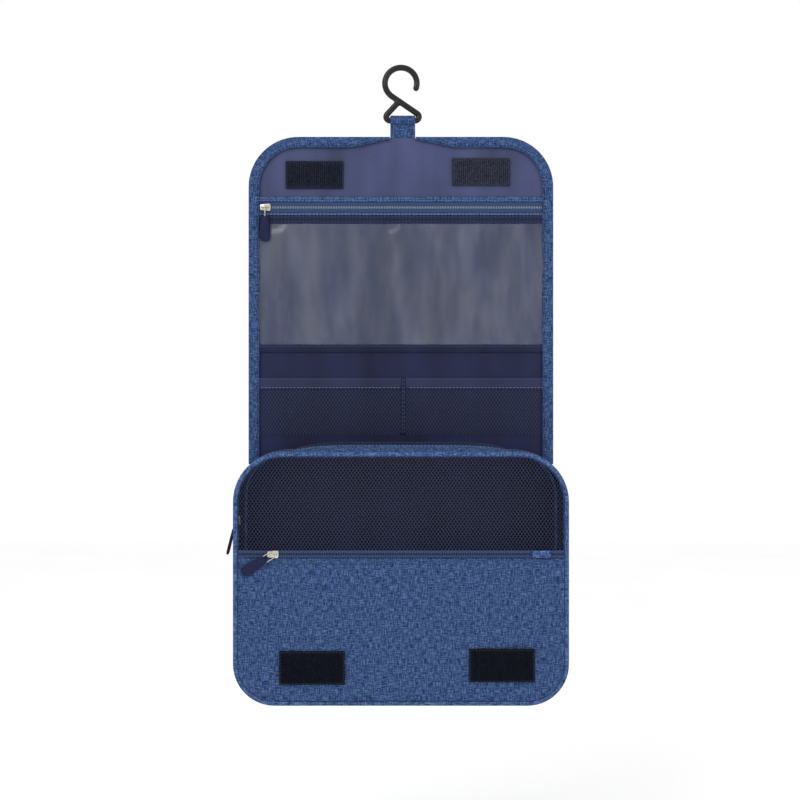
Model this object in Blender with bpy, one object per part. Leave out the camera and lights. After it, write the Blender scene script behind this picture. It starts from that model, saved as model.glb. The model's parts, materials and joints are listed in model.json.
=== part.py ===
"""Hanging wash bag: a hook, a folding flap with a clear zip pocket, a net-pocket panel and a zipped bag.

The origin is the point inside the hook's crown that rests on a rail. Z is up, X is to the right, and the
bag's front faces -Y. Lengths at the top are in millimetres and every shape is built in metres. The bag is
drawn upright and then turned about the hook's bar until its weight hangs below the bar.
"""

import math

import bmesh
import bpy
from mathutils import Matrix, Vector

MM = 0.001
GAP = 0.3  # clearance between pieces that touch
HANG_TILT = 2.8  # degrees; how far the empty bag's foot swings back when it hangs free

# Hook: a round rod bent to a crown, a diagonal shank and a bar for the loop
ROD = 4.6  # diameter
CROWN_R = 12.2  # centreline radius
CROWN_Z = -(CROWN_R - ROD / 2)  # the rail rests at the origin
TIP_ANGLE = -18.0
LEAVE_ANGLE = 235.3  # where the shank leaves the crown
BAR_DROP = 22.36 + 1.4 * ROD  # from the crown's centre; a thicker rod needs more room round the loop
BAR_Z = CROWN_Z - BAR_DROP
BAR_LEFT = -8.4  # centre of the bar's left bend
BEND_R = ROD / 2 + 0.6
ARM_MEET = 2.7  # where the short arm's line meets the shank, left of the loop's middle
ARM_GAP = 0.4  # between the arm's end and the shank, closed by the weld
WELD_D = ROD + 1.2

# Hanging loop: a strap folded round the hook's bar
LOOP_X = 1.4
LOOP_WIDTH = 19.0
LOOP_CLEAR = 0.4
LOOP_HOLE_R = ROD / 2 + LOOP_CLEAR
LOOP_WALL = 0.9
LOOP_TAIL = 1.0
LOOP_END = -60.9

# Panels, from the top down
PANEL_WIDTH = 232.0
PANEL_TOP = -51.7
PANEL_R = 38.0
UPPER_FOLD_Z = -219.2
LOWER_FOLD_Z = -282.1
HEM_TURN = 1.0  # the layers stop this far short of a fold
FRONT_TURN = 3.6  # and the pieces on the lining this far
BINDING_WIDTH = 8.2
BINDING_THICK = 0.6
FOAM_INSET = 9.2

# Depths, as front and back planes; the lining's front face carries both folds
SHELL_Y = (0.8, 1.6)
FOAM_Y = (-0.5, 0.5)
LINING_Y = (-1.3, -0.8)
COVER_Y = (-3.0, -2.4)
FILM_Y = (-2.8, -2.4)
BINDING_Y = (-3.3 - BINDING_THICK, 1.9 + BINDING_THICK)

# Upper panel, front pieces by height
FLAP_PATCH = (44.0, 21.0, 2.6)
FLAP_PATCH_AT = {"left": (-65.9, -80.6), "right": (61.0, -78.3)}
WINDOW_ZIP_Z = -105.5
TAPE_WIDTH = 3.3
TAPE_SPLIT = 1.4  # between the two halves of a zip
ZIP_COVER_TOP = -97.3
ZIP_COVER_BOTTOM = -111.3
WINDOW_TRIM_END = -117.6
FILM_END = -210.0

# Middle panel
POCKET_HEM_TOP = -235.2
POCKET_HEM_BOTTOM = -243.7
DIVIDER_X = 1.8
DIVIDER_WIDTH = 3.0

# Bag
BAG_OVERHANG = 5.0  # each side beyond the panels
BAG_WIDTH = PANEL_WIDTH + 2 * BAG_OVERHANG
BAG_TOP = -289.5
BAG_BOTTOM = -472.2
BAG_TOP_R = 36.0
BAG_BOTTOM_R = 30.0
PIPING_R = 1.8
WALL = 0.8
WALL_INSET = 1.0
LINING_THICK = 0.5
ZIP_Y = -32.0  # the main zip's middle, and the lid's hinge line
MAIN_TAPE = 9.0
BAG_FRONT = -56.8  # front of the front piping
LID_Y = (-56.0, -55.2)
LID_NET_Y = (-56.0, -55.4)
LID_LINING_Y = (-54.3, -53.8)

# Lid, front pieces by height
FRONT_ZIP_Z = -363.0
FRONT_TAPE_WIDTH = 2.1
LID_HEM_WIDTH = 4.9
END_TAB = (13.5, 5.4, 0.9)
END_TAB_X = BAG_WIDTH / 2 - 27.0
LID_PATCH = (47.0, 24.0, 2.6)
LID_PATCH_AT = {"left": (-64.0, BAG_BOTTOM + 27.7), "right": (72.5, BAG_BOTTOM + 29.5)}

# Zip sliders and pulls
SLIDER_LENGTH = 8.0
SLIDER_WIDTH = 5.6
SLIDER_BACK = 0.5
SLIDER_FRONT = 0.8
SLIDER_POST = (2.4, 0.8)
BAIL_WIRE = 0.8
BAIL_CLEAR = 1.5
BAIL_SPAN = 5.2
BAIL_BEND = 0.9
LINK_WIRE = 0.7
LINK_LEAD = 1.6  # from the slider's end to the tab
BAIL_LINK = (1.25, 0.6, 2.2)  # half widths at the bail and at the tab, and the length of the taper
FLAT_LINK_HALF = 2.5
FLAT_LINK_BEND = 0.8
TAB = (7.5, 20.0, 1.8)
TAB_TOP_R = 1.6
TAB_FOOT_R = TAB[0] / 2 - 0.4
WINDOW_SLIDER_X = -(PANEL_WIDTH / 2 - 12.8)
FRONT_SLIDER_X = -(BAG_WIDTH / 2 - 29.0)
MAIN_SLIDER_Z = -341.0
FRONT_PULL_ANGLE = 211.6
MAIN_PULL_TILT = 14.0

ARC_STEPS = 7
CROWN_STEPS = 22
BEND_STEPS = 8
LOOP_STEPS = 20
HOLE_STEPS = 16
SHOULDER_STEPS = 3
HALF_PANEL = PANEL_WIDTH / 2
HALF_BAG = BAG_WIDTH / 2
LAYER_INSET = BINDING_THICK + GAP
SLIDER_SLOT = COVER_Y[1] - COVER_Y[0]

for old in list(bpy.data.objects):
    bpy.data.objects.remove(old)

parts = bpy.data.collections.new("hanging_wash_bag")
cutters = bpy.data.collections.new("cutters")
bpy.context.scene.collection.children.link(parts)
bpy.context.scene.collection.children.link(cutters)


def finish(name, colour, roughness, metallic=0.0):
    """A Principled material in the piece's own colour."""
    material = bpy.data.materials.new(name)
    material.use_nodes = True
    shader = material.node_tree.nodes["Principled BSDF"]
    shader.inputs["Base Color"].default_value = (*colour, 1)
    shader.inputs["Roughness"].default_value = roughness
    shader.inputs["Metallic"].default_value = metallic
    material.diffuse_color = (*colour, 1)
    return material


COLOURS = {
    "heather": ((0.058, 0.107, 0.283), 0.9, 0.0),
    "satin": ((0.061, 0.065, 0.171), 0.5, 0.0),
    "dark_lining": ((0.017, 0.021, 0.072), 0.6, 0.0),
    "foam": ((0.75, 0.75, 0.72), 0.95, 0.0),
    "clear_film": ((0.7, 0.74, 0.8), 0.15, 0.0),
    "net": ((0.012, 0.016, 0.045), 0.7, 0.0),
    "hook_loop": ((0.008, 0.01, 0.02), 1.0, 0.0),
    "zip_tape": ((0.02, 0.03, 0.08), 0.8, 0.0),
    "metal": ((0.78, 0.72, 0.58), 0.25, 1.0),
    "rubber": ((0.01, 0.013, 0.06), 0.45, 0.0),
    "hook_black": ((0.008, 0.008, 0.009), 0.2, 0.0),
}


def place(obj, material, parent=None, collection=parts):
    """Link an object, give it its own material and hang it on a joint's empty without moving it."""
    collection.objects.link(obj)
    if material:
        obj.data.materials.append(finish(obj.name + "_finish", *COLOURS[material]))
    if parent:
        obj.parent = parent
        obj.matrix_parent_inverse = parent.matrix_world.inverted()
    return obj


def joint_empty(name, x, y, z, parent=None):
    """An empty on a joint's axis, in millimetres, carried by the piece or axis that it moves with."""
    empty = bpy.data.objects.new(name, None)
    empty.location = Vector((x, y, z)) * MM
    empty.empty_display_size = 0.01
    parts.objects.link(empty)
    if parent:
        empty.parent = parent
        empty.matrix_parent_inverse = parent.matrix_world.inverted()
    bpy.context.view_layer.update()
    return empty


def arc(cx, cy, r, start, end, steps=ARC_STEPS):
    """Points on an arc, angles in degrees."""
    angles = (math.radians(start + (end - start) * i / steps) for i in range(steps + 1))
    return [(cx + r * math.cos(a), cy + r * math.sin(a)) for a in angles]


def box_outline(left, right, bottom, top):
    return [(left, bottom), (right, bottom), (right, top), (left, top)]


def rounded(half, top, bottom, r_top, r_bottom):
    """A rectangle about x = 0 with its own top and bottom corner radii, anticlockwise from the lower left."""
    points = []
    lower = ((-1, bottom, r_bottom, 180), (1, bottom, r_bottom, 270))
    upper = ((1, top, r_top, 0), (-1, top, r_top, 90))
    for side, z, r, start in lower + upper:
        cz = z + r if z == bottom else z - r
        points += arc(side * (half - r), cz, r, start, start + 90) if r > 0 else [(side * half, z)]
    return points


def bag_outline(inset):
    radii = (BAG_TOP_R - inset, BAG_BOTTOM_R - inset)
    return rounded(HALF_BAG - inset, BAG_TOP - inset, BAG_BOTTOM + inset, *radii)


def curve_object(name, paths, closed=True, flat=True):
    """A curve of straight-segment splines; a flat one lies in the XZ plane once it is stood up."""
    data = bpy.data.curves.new(name, "CURVE")
    data.dimensions = "2D" if flat else "3D"
    for path in paths:
        spline = data.splines.new("POLY")
        spline.points.add(len(path) - 1)
        for point, at in zip(spline.points, path):
            point.co = (*(Vector(at).to_3d() * MM), 1)
        spline.use_cyclic_u = closed
    return bpy.data.objects.new(name, data)


def slab(name, paths, y, material, parent=None):
    """A flat piece from its outline (and any holes), between the planes y[0] and y[1]."""
    obj = curve_object(name, paths)
    obj.data.fill_mode = "BOTH"
    obj.data.extrude = (y[1] - y[0]) / 2 * MM
    obj.location.y = (y[0] + y[1]) / 2 * MM
    obj.rotation_euler.x = math.pi / 2
    return place(obj, material, parent)


def side_slab(name, path_sets, x, material, parent=None):
    """A piece whose outline is drawn in Y and Z and whose thickness runs along X."""
    obj = curve_object(name, path_sets)
    obj.data.fill_mode = "BOTH"
    obj.data.extrude = (x[1] - x[0]) / 2 * MM
    obj.location.x = (x[0] + x[1]) / 2 * MM
    obj.rotation_euler = (math.pi / 2, 0, math.pi / 2)
    return place(obj, material, parent)


def ring(name, inset, thick, y, material, parent=None):
    """A wall of the bag: a band that follows the bag's outline at an inset."""
    return slab(name, [bag_outline(inset), bag_outline(inset + thick)], y, material, parent)


def tube(name, path, diameter, material, parent=None, closed=False):
    """A round wire along a path of points in millimetres."""
    obj = curve_object(name, [path], closed, flat=False)
    obj.data.bevel_depth = diameter / 2 * MM
    obj.data.bevel_resolution = 2
    obj.data.use_fill_caps = not closed
    return place(obj, material, parent)


def swept_edge(name, path, section, material, parent=None):
    """An edging: a closed section of (inward, y) points swept along an anticlockwise path in X and Z."""
    profile = curve_object(name + "_section", [[(-inward, -y) for inward, y in section]])
    profile.data.fill_mode = "NONE"
    profile.hide_render = True
    profile.display_type = "WIRE"
    cutters.objects.link(profile)
    obj = curve_object(name, [path], closed=False)
    obj.data.fill_mode = "NONE"
    obj.data.bevel_mode = "OBJECT"
    obj.data.bevel_object = profile
    obj.data.use_fill_caps = True
    obj.rotation_euler.x = math.pi / 2
    return place(obj, material, parent)


def meshed(obj):
    """The same piece as a welded mesh, for a Boolean or a Bevel."""
    bpy.context.view_layer.update()
    graph = bpy.context.evaluated_depsgraph_get()
    mesh = bpy.data.meshes.new_from_object(obj.evaluated_get(graph))
    bm = bmesh.new()
    bm.from_mesh(mesh)
    bmesh.ops.remove_doubles(bm, verts=bm.verts, dist=1e-6)
    bm.to_mesh(mesh)
    bm.free()
    made = bpy.data.objects.new(obj.name, mesh)
    made.matrix_world = obj.matrix_world
    name = obj.name
    bpy.data.objects.remove(obj)
    made.name = name
    return made


def join(body, other, name):
    """Unite a helper solid with a body by an exact Boolean; the helper moves with the body."""
    other.hide_render = True
    other.display_type = "WIRE"
    other.parent = body
    cutters.objects.link(other)
    modifier = body.modifiers.new(name, "BOOLEAN")
    modifier.operation = "UNION"
    modifier.solver = "EXACT"
    modifier.object = other


def box_mesh(name, size, centre):
    """A box object with its sizes and centre in millimetres."""
    mesh = bpy.data.meshes.new(name)
    bm = bmesh.new()
    bmesh.ops.create_cube(bm, size=1)
    bmesh.ops.scale(bm, verts=bm.verts, vec=Vector(size) * MM)
    bmesh.ops.translate(bm, verts=bm.verts, vec=Vector(centre) * MM)
    bm.to_mesh(mesh)
    bm.free()
    return bpy.data.objects.new(name, mesh)


# ---- hook ----------------------------------------------------------------------------------------------

swing_axis = joint_empty("loop_axis", LOOP_X, 0, BAR_Z)
upper_axis = joint_empty("upper_fold_axis", 0, LINING_Y[0], UPPER_FOLD_Z, swing_axis)
lower_axis = joint_empty("lower_fold_axis", 0, LINING_Y[0], LOWER_FOLD_Z, upper_axis)
lid_axis = joint_empty("lid_axis", 0, ZIP_Y, BAG_BOTTOM + WALL_INSET, lower_axis)


def hook():
    leave = math.radians(LEAVE_ANGLE)
    start = Vector((CROWN_R * math.cos(leave), CROWN_Z + CROWN_R * math.sin(leave)))
    down = Vector((-math.sin(leave), math.cos(leave)))  # the shank's direction, tangent to the crown
    outward = Vector((-down.y, down.x))
    bend_z = BAR_Z + BEND_R
    left = Vector((BAR_LEFT, bend_z))
    # the right bend's centre is where the shank, moved in by the bend's radius, meets the bend's height
    along = (bend_z - start.y + BEND_R * outward.y) / down.y
    right = start + down * along - outward * BEND_R
    # the short arm leaves the left bend on a tangent that meets the shank
    meet = start + down * ((LOOP_X - ARM_MEET - start.x) / down.x)
    reach = meet - left
    turn = math.atan2(reach.y, reach.x) + math.acos(BEND_R / reach.length)
    tangent = left + BEND_R * Vector((math.cos(turn), math.sin(turn)))
    arm = meet - tangent
    arm_end = tangent + arm.normalized() * (arm.length - ROD - ARM_GAP)
    shank_out = math.degrees(math.atan2(outward.y, outward.x))
    path = arc(0, CROWN_Z, CROWN_R, TIP_ANGLE, LEAVE_ANGLE, CROWN_STEPS)
    path += arc(right.x, right.y, BEND_R, shank_out, -90, BEND_STEPS)
    path += arc(left.x, left.y, BEND_R, 270, math.degrees(turn), BEND_STEPS)
    path.append(tuple(arm_end))
    rod = meshed(tube("hook", [(x, 0, z) for x, z in path], ROD, None))
    place(rod, "hook_black")
    mesh = bpy.data.meshes.new("hook_weld")
    bm = bmesh.new()
    weld = (arm_end + meet) / 2
    bmesh.ops.create_uvsphere(bm, u_segments=12, v_segments=8, radius=WELD_D / 2 * MM)
    bmesh.ops.translate(bm, verts=bm.verts, vec=Vector((weld.x, 0, weld.y)) * MM)
    bm.to_mesh(mesh)
    bm.free()
    join(rod, bpy.data.objects.new("hook_weld", mesh), "weld")


hook()

# ---- upper panel ---------------------------------------------------------------------------------------


def hanging_loop():
    """The strap round the bar, its two ends running down together between shell and lining."""
    outer = LOOP_HOLE_R + LOOP_WALL
    side = math.degrees(math.asin(LOOP_TAIL / 2 / outer))
    tail = [(-LOOP_TAIL / 2, LOOP_END), (LOOP_TAIL / 2, LOOP_END)]
    outline = tail + arc(0, BAR_Z, outer, -90 + side, 270 - side, LOOP_STEPS)
    hole = arc(0, BAR_Z, LOOP_HOLE_R, 0, 360, HOLE_STEPS)[:-1]
    x = (LOOP_X - LOOP_WIDTH / 2, LOOP_X + LOOP_WIDTH / 2)
    side_slab("hanging_loop", [outline, hole], x, "heather", swing_axis)


def upper_outline(inset, bottom):
    half = HALF_PANEL - inset
    return rounded(half, PANEL_TOP - inset, bottom, PANEL_R - inset, 0)


def binding_section():
    front, back = BINDING_Y
    wide, thick = BINDING_WIDTH, BINDING_THICK
    return [
        (0, back),
        (wide, back),
        (wide, back - thick),
        (thick, back - thick),
        (thick, front + thick),
        (wide, front + thick),
        (wide, front),
        (0, front),
    ]


def upper_bindings():
    """Folded edging down each side, each piece starting beside the hanging loop."""
    corner = arc(HALF_PANEL - PANEL_R, PANEL_TOP - PANEL_R, PANEL_R, 0, 90)
    end = UPPER_FOLD_Z + FRONT_TURN
    loop_left = LOOP_X - LOOP_WIDTH / 2 - GAP
    loop_right = LOOP_X + LOOP_WIDTH / 2 + GAP
    right = [(HALF_PANEL, end)] + corner + [(loop_right, PANEL_TOP)]
    left = [(loop_left, PANEL_TOP)] + [(-x, z) for x, z in reversed(corner)] + [(-HALF_PANEL, end)]
    for name, path in (("left", left), ("right", right)):
        swept_edge("upper_binding_" + name, path, binding_section(), "heather", swing_axis)


def strip(name, z, y, material, parent, half=HALF_PANEL - LAYER_INSET):
    """A piece across the panel between two heights."""
    slab(name, [box_outline(-half, half, min(z), max(z))], y, material, parent)


def zip_tapes(name, z, width, x, y, parent):
    """The two halves of a straight zip, apart by the split that the slider's post runs in."""
    split = TAPE_SPLIT / 2
    slab(name + "_upper", [box_outline(*x, z + split, z + split + width)], y, "zip_tape", parent)
    slab(name + "_lower", [box_outline(*x, z - split - width, z - split)], y, "zip_tape", parent)


def patches(name, size, places, face, parent):
    """Hook-and-loop patches on a face that looks towards -Y."""
    wide, high, thick = size
    for side, (x, z) in places.items():
        outline = box_outline(x - wide / 2, x + wide / 2, z - high / 2, z + high / 2)
        slab(f"{name}_{side}", [outline], (face - GAP - thick, face - GAP), "hook_loop", parent)


def upper_panel():
    end = UPPER_FOLD_Z + HEM_TURN
    front_end = UPPER_FOLD_Z + FRONT_TURN
    half = HALF_PANEL - LAYER_INSET
    slab("upper_shell", [upper_outline(LAYER_INSET, end)], SHELL_Y, "heather", swing_axis)
    slab("upper_foam", [upper_outline(FOAM_INSET, end + FOAM_INSET)], FOAM_Y, "foam", swing_axis)
    slab("upper_lining", [upper_outline(LAYER_INSET, end)], LINING_Y, "satin", swing_axis)
    patches("flap_patch", FLAP_PATCH, FLAP_PATCH_AT, LINING_Y[0], swing_axis)
    tape = TAPE_SPLIT / 2 + TAPE_WIDTH + GAP
    strip("window_zip_cover_upper", (ZIP_COVER_TOP, WINDOW_ZIP_Z + tape), COVER_Y, "heather", swing_axis)
    strip("window_zip_cover_lower", (WINDOW_ZIP_Z - tape, ZIP_COVER_BOTTOM), COVER_Y, "heather", swing_axis)
    zip_tapes("window_zip_tape", WINDOW_ZIP_Z, TAPE_WIDTH, (-half, half), COVER_Y, swing_axis)
    strip("window_top_trim", (ZIP_COVER_BOTTOM - GAP, WINDOW_TRIM_END), COVER_Y, "dark_lining", swing_axis)
    strip("window_film", (WINDOW_TRIM_END - GAP, FILM_END + GAP), FILM_Y, "clear_film", swing_axis)
    strip("window_bottom_trim", (FILM_END, front_end), COVER_Y, "dark_lining", swing_axis)


hanging_loop()
upper_panel()
upper_bindings()

# ---- middle panel with the two net pockets -------------------------------------------------------------


def middle_panel():
    half = HALF_PANEL - LAYER_INSET
    top, bottom = UPPER_FOLD_Z - HEM_TURN, LOWER_FOLD_Z + HEM_TURN
    front_top, front_bottom = UPPER_FOLD_Z - FRONT_TURN, LOWER_FOLD_Z + FRONT_TURN
    foam = (top - FOAM_INSET / 2, bottom + FOAM_INSET / 2)
    strip("middle_shell", (top, bottom), SHELL_Y, "heather", upper_axis)
    strip("middle_foam", foam, FOAM_Y, "foam", upper_axis, half=HALF_PANEL - FOAM_INSET)
    strip("middle_lining", (top, bottom), LINING_Y, "dark_lining", upper_axis)
    for side, sign in (("left", -1), ("right", 1)):
        edge = DIVIDER_X + sign * (DIVIDER_WIDTH / 2 + GAP)
        left, right = sorted((edge, sign * half))
        hem = box_outline(left, right, POCKET_HEM_BOTTOM, POCKET_HEM_TOP)
        net = box_outline(left, right, front_bottom, POCKET_HEM_BOTTOM - GAP)
        slab("pocket_hem_" + side, [hem], COVER_Y, "dark_lining", upper_axis)
        slab("pocket_net_" + side, [net], COVER_Y, "net", upper_axis)
        path = [(sign * HALF_PANEL, front_top), (sign * HALF_PANEL, front_bottom)]
        if sign > 0:
            path.reverse()
        swept_edge("middle_binding_" + side, path, binding_section(), "heather", upper_axis)
    divider = (DIVIDER_X - DIVIDER_WIDTH / 2, DIVIDER_X + DIVIDER_WIDTH / 2)
    tape = box_outline(*divider, front_bottom, POCKET_HEM_TOP)
    slab("pocket_divider", [tape], COVER_Y, "dark_lining", upper_axis)


middle_panel()

# ---- bag: back panel, gusset and its half of the main zip ---------------------------------------------


def back_outline(inset, top):
    """The back panel: as wide as the panels above where it leaves the fold, then the bag's own outline."""
    r = BAG_TOP_R - inset
    cx, cz = HALF_BAG - BAG_TOP_R, BAG_TOP - BAG_TOP_R
    half = HALF_PANEL - LAYER_INSET - inset
    shoulder = math.degrees(math.acos((half - cx) / r))
    bottom_r = BAG_BOTTOM_R - inset
    bottom = BAG_BOTTOM + BAG_BOTTOM_R
    right = arc(HALF_BAG - BAG_BOTTOM_R, bottom, bottom_r, -90, 0)
    right += arc(cx, cz, r, 0, shoulder, SHOULDER_STEPS) + [(half, top)]
    return right + [(-x, z) for x, z in reversed(right)]


def bag():
    top = LOWER_FOLD_Z - HEM_TURN
    slab("back_shell", [back_outline(GAP, top)], SHELL_Y, "heather", lower_axis)
    slab("back_foam", [back_outline(FOAM_INSET, top - FOAM_INSET / 2)], FOAM_Y, "foam", lower_axis)
    slab("back_lining", [back_outline(GAP, top)], LINING_Y, "satin", lower_axis)
    piping_y = LINING_Y[0] - GAP - PIPING_R
    path = [(x, piping_y, z) for x, z in bag_outline(PIPING_R)]
    tube("back_piping", path, 2 * PIPING_R, "heather", lower_axis, closed=True)
    wall = (ZIP_Y + TAPE_SPLIT / 2 + MAIN_TAPE + GAP, piping_y - PIPING_R - GAP)
    ring("rear_gusset", WALL_INSET, WALL, wall, "heather", lower_axis)
    ring("rear_gusset_lining", WALL_INSET + WALL + GAP, LINING_THICK, wall, "dark_lining", lower_axis)
    tape = (ZIP_Y + TAPE_SPLIT / 2, ZIP_Y + TAPE_SPLIT / 2 + MAIN_TAPE)
    ring("rear_zip_tape", WALL_INSET, SLIDER_SLOT, tape, "zip_tape", lower_axis)


bag()

# ---- lid -----------------------------------------------------------------------------------------------

LID_INSET = 2 * PIPING_R + GAP


def lid_face(top, bottom):
    """The lid's face inside its piping, cut off straight at either height where one is given."""
    top_r = BAG_TOP_R - LID_INSET if top is None else 0
    bottom_r = BAG_BOTTOM_R - LID_INSET if bottom is None else 0
    top = BAG_TOP - LID_INSET if top is None else top
    bottom = BAG_BOTTOM + LID_INSET if bottom is None else bottom
    return rounded(HALF_BAG - LID_INSET, top, bottom, top_r, bottom_r)


def lid():
    piping_y = BAG_FRONT + PIPING_R
    path = [(x, piping_y, z) for x, z in bag_outline(PIPING_R)]
    tube("front_piping", path, 2 * PIPING_R, "heather", lid_axis, closed=True)
    tape = (ZIP_Y - TAPE_SPLIT / 2 - MAIN_TAPE, ZIP_Y - TAPE_SPLIT / 2)
    wall = (piping_y + PIPING_R + GAP, tape[0] - GAP)
    ring("lid_zip_tape", WALL_INSET, SLIDER_SLOT, tape, "zip_tape", lid_axis)
    ring("lid_gusset", WALL_INSET, WALL, wall, "heather", lid_axis)
    ring("lid_gusset_lining", WALL_INSET + WALL + GAP, LINING_THICK, wall, "dark_lining", lid_axis)
    tape_top = FRONT_ZIP_Z + TAPE_SPLIT / 2 + FRONT_TAPE_WIDTH
    hem_top = FRONT_ZIP_Z - TAPE_SPLIT / 2 - FRONT_TAPE_WIDTH - GAP
    hem_bottom = hem_top - LID_HEM_WIDTH
    half = HALF_BAG - LID_INSET
    slab("lid_net", [lid_face(None, tape_top + GAP)], LID_NET_Y, "net", lid_axis)
    slab("lid_hem", [box_outline(-half, half, hem_bottom, hem_top)], LID_NET_Y, "heather", lid_axis)
    slab("lid_panel", [lid_face(hem_bottom - GAP, None)], LID_Y, "heather", lid_axis)
    slab("lid_panel_lining", [lid_face(tape_top, None)], LID_LINING_Y, "dark_lining", lid_axis)
    zip_tapes("front_zip_tape", FRONT_ZIP_Z, FRONT_TAPE_WIDTH, (-half, half), LID_NET_Y, lid_axis)
    wide, high, thick = END_TAB
    tab = box_outline(END_TAB_X, END_TAB_X + wide, FRONT_ZIP_Z - high / 2, FRONT_ZIP_Z + high / 2)
    face = LID_NET_Y[0] - GAP
    slab("front_zip_end_tab", [tab], (face - thick, face), "heather", lid_axis)
    patches("lid_patch", LID_PATCH, LID_PATCH_AT, LID_Y[0], lid_axis)


lid()

# ---- zip sliders and pulls ----------------------------------------------------------------------------
# A slider is drawn running along X with its front towards -Y, its slot centred on the origin.

FRONT_FACE = SLIDER_SLOT / 2 + GAP + SLIDER_FRONT  # front of the slider, ahead of the tape's middle
BAIL_Y = FRONT_FACE + BAIL_CLEAR + BAIL_WIRE / 2  # middle of the bail's bar


def slider(name, matrix, parent):
    back_y = SLIDER_SLOT / 2 + GAP + SLIDER_BACK / 2
    front_y = -(SLIDER_SLOT / 2 + GAP + SLIDER_FRONT / 2)
    front = box_mesh(name, (SLIDER_LENGTH, SLIDER_FRONT, SLIDER_WIDTH), (0, front_y, 0))
    place(front, "metal")
    back = box_mesh(name + "_back", (SLIDER_LENGTH, SLIDER_BACK, SLIDER_WIDTH), (0, back_y, 0))
    join(front, back, "back_plate")
    post_depth = back_y - front_y
    post_size = (SLIDER_POST[0], post_depth, SLIDER_POST[1])
    post = box_mesh(name + "_post", post_size, (0, (back_y + front_y) / 2, 0))
    join(front, post, "post")
    half = BAIL_SPAN / 2
    path = [(-half, front_y), (-half, -BAIL_Y + BAIL_BEND), (-half + BAIL_BEND, -BAIL_Y)]
    path = path + [(-x, y) for x, y in reversed(path)]
    bail = meshed(tube(name + "_bail", [(x, y, 0) for x, y in path], BAIL_WIRE, None))
    join(front, bail, "bail")
    front.matrix_world = matrix
    front.parent = parent
    front.matrix_parent_inverse = parent.matrix_world.inverted()
    return front


def tab_outline(top):
    """The rubber tab below its link: a rectangle with rounded ends, its top at the given height."""
    wide, long, _ = TAB
    return [(x, z + top - long) for x, z in rounded(wide / 2, long, 0, TAB_TOP_R, TAB_FOOT_R)]


def pull(name, matrix, empty, across):
    """Link and tab, hanging from a pivot at the origin in local axes; `across` turns the link's plane."""
    lead = SLIDER_LENGTH / 2 + LINK_LEAD
    if across:
        wide, foot, taper = BAIL_LINK
        half = [(-foot, -lead), (-wide, taper - lead)]
        path = half + arc(0, 0, wide, 180, 0, BEND_STEPS) + [(-y, z) for y, z in reversed(half)]
        path = [(0, y, z) for y, z in path]
    else:
        wide, bend = FLAT_LINK_HALF, FLAT_LINK_BEND
        half = [(-wide, -lead), (-wide, -bend), (-wide + bend, 0)]
        path = [(x, 0, z) for x, z in half + [(-x, z) for x, z in reversed(half)]]
    link = tube(name + "_link", path, LINK_WIRE, "metal")
    thick = TAB[2]
    tab = slab(name + "_tab", [tab_outline(-lead - GAP)], (-thick / 2, thick / 2), "rubber")
    bpy.context.view_layer.update()
    for piece in (link, tab):
        piece.matrix_world = matrix @ piece.matrix_world
        piece.parent = empty
        piece.matrix_parent_inverse = empty.matrix_world.inverted()


def at(x, y, z):
    return Matrix.Translation(Vector((x, y, z)) * MM)


window_tape_y = (COVER_Y[0] + COVER_Y[1]) / 2
lid_tape_y = (LID_NET_Y[0] + LID_NET_Y[1]) / 2
main_tape_x = -(HALF_BAG - WALL_INSET - SLIDER_SLOT / 2)
turned = Matrix.Rotation(math.radians(-90), 4, "Z") @ Matrix.Rotation(math.radians(90), 4, "Y")

window_at = (WINDOW_SLIDER_X, window_tape_y, WINDOW_ZIP_Z)
window_slider = slider("window_zip_slider", at(*window_at), swing_axis)
window_pivot_at = (WINDOW_SLIDER_X, window_tape_y - BAIL_Y, WINDOW_ZIP_Z)
window_pivot = joint_empty("window_pull_axis", *window_pivot_at, window_slider)
pull("window_pull", at(*window_pivot_at), window_pivot, across=True)

bar_y = FRONT_FACE + BAIL_CLEAR / 2  # a link that runs under the bail's bar
front_slider = slider("front_zip_slider", at(FRONT_SLIDER_X, lid_tape_y, FRONT_ZIP_Z), lid_axis)
front_pivot_at = (FRONT_SLIDER_X, lid_tape_y - bar_y, FRONT_ZIP_Z)
front_pivot = joint_empty("front_pull_axis", *front_pivot_at, front_slider)
lean = Matrix.Rotation(math.radians(-(FRONT_PULL_ANGLE - 270)), 4, "Y")
pull("front_pull", at(*front_pivot_at) @ lean, front_pivot, across=False)

main_slider = slider("main_zip_slider", at(main_tape_x, ZIP_Y, MAIN_SLIDER_Z) @ turned, lower_axis)
main_pivot_at = (main_tape_x - bar_y, ZIP_Y, MAIN_SLIDER_Z)
main_pivot = joint_empty("main_pull_axis", *main_pivot_at, main_slider)
outward = Matrix.Rotation(math.radians(MAIN_PULL_TILT), 4, "Y") @ Matrix.Rotation(math.radians(-90), 4, "Z")
pull("main_pull", at(*main_pivot_at) @ outward, main_pivot, across=False)

swing_axis.rotation_euler.x = math.radians(HANG_TILT)
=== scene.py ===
import json
import math

import bmesh
import bpy
import numpy as np
from mathutils import Matrix, Vector, noise


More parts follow.
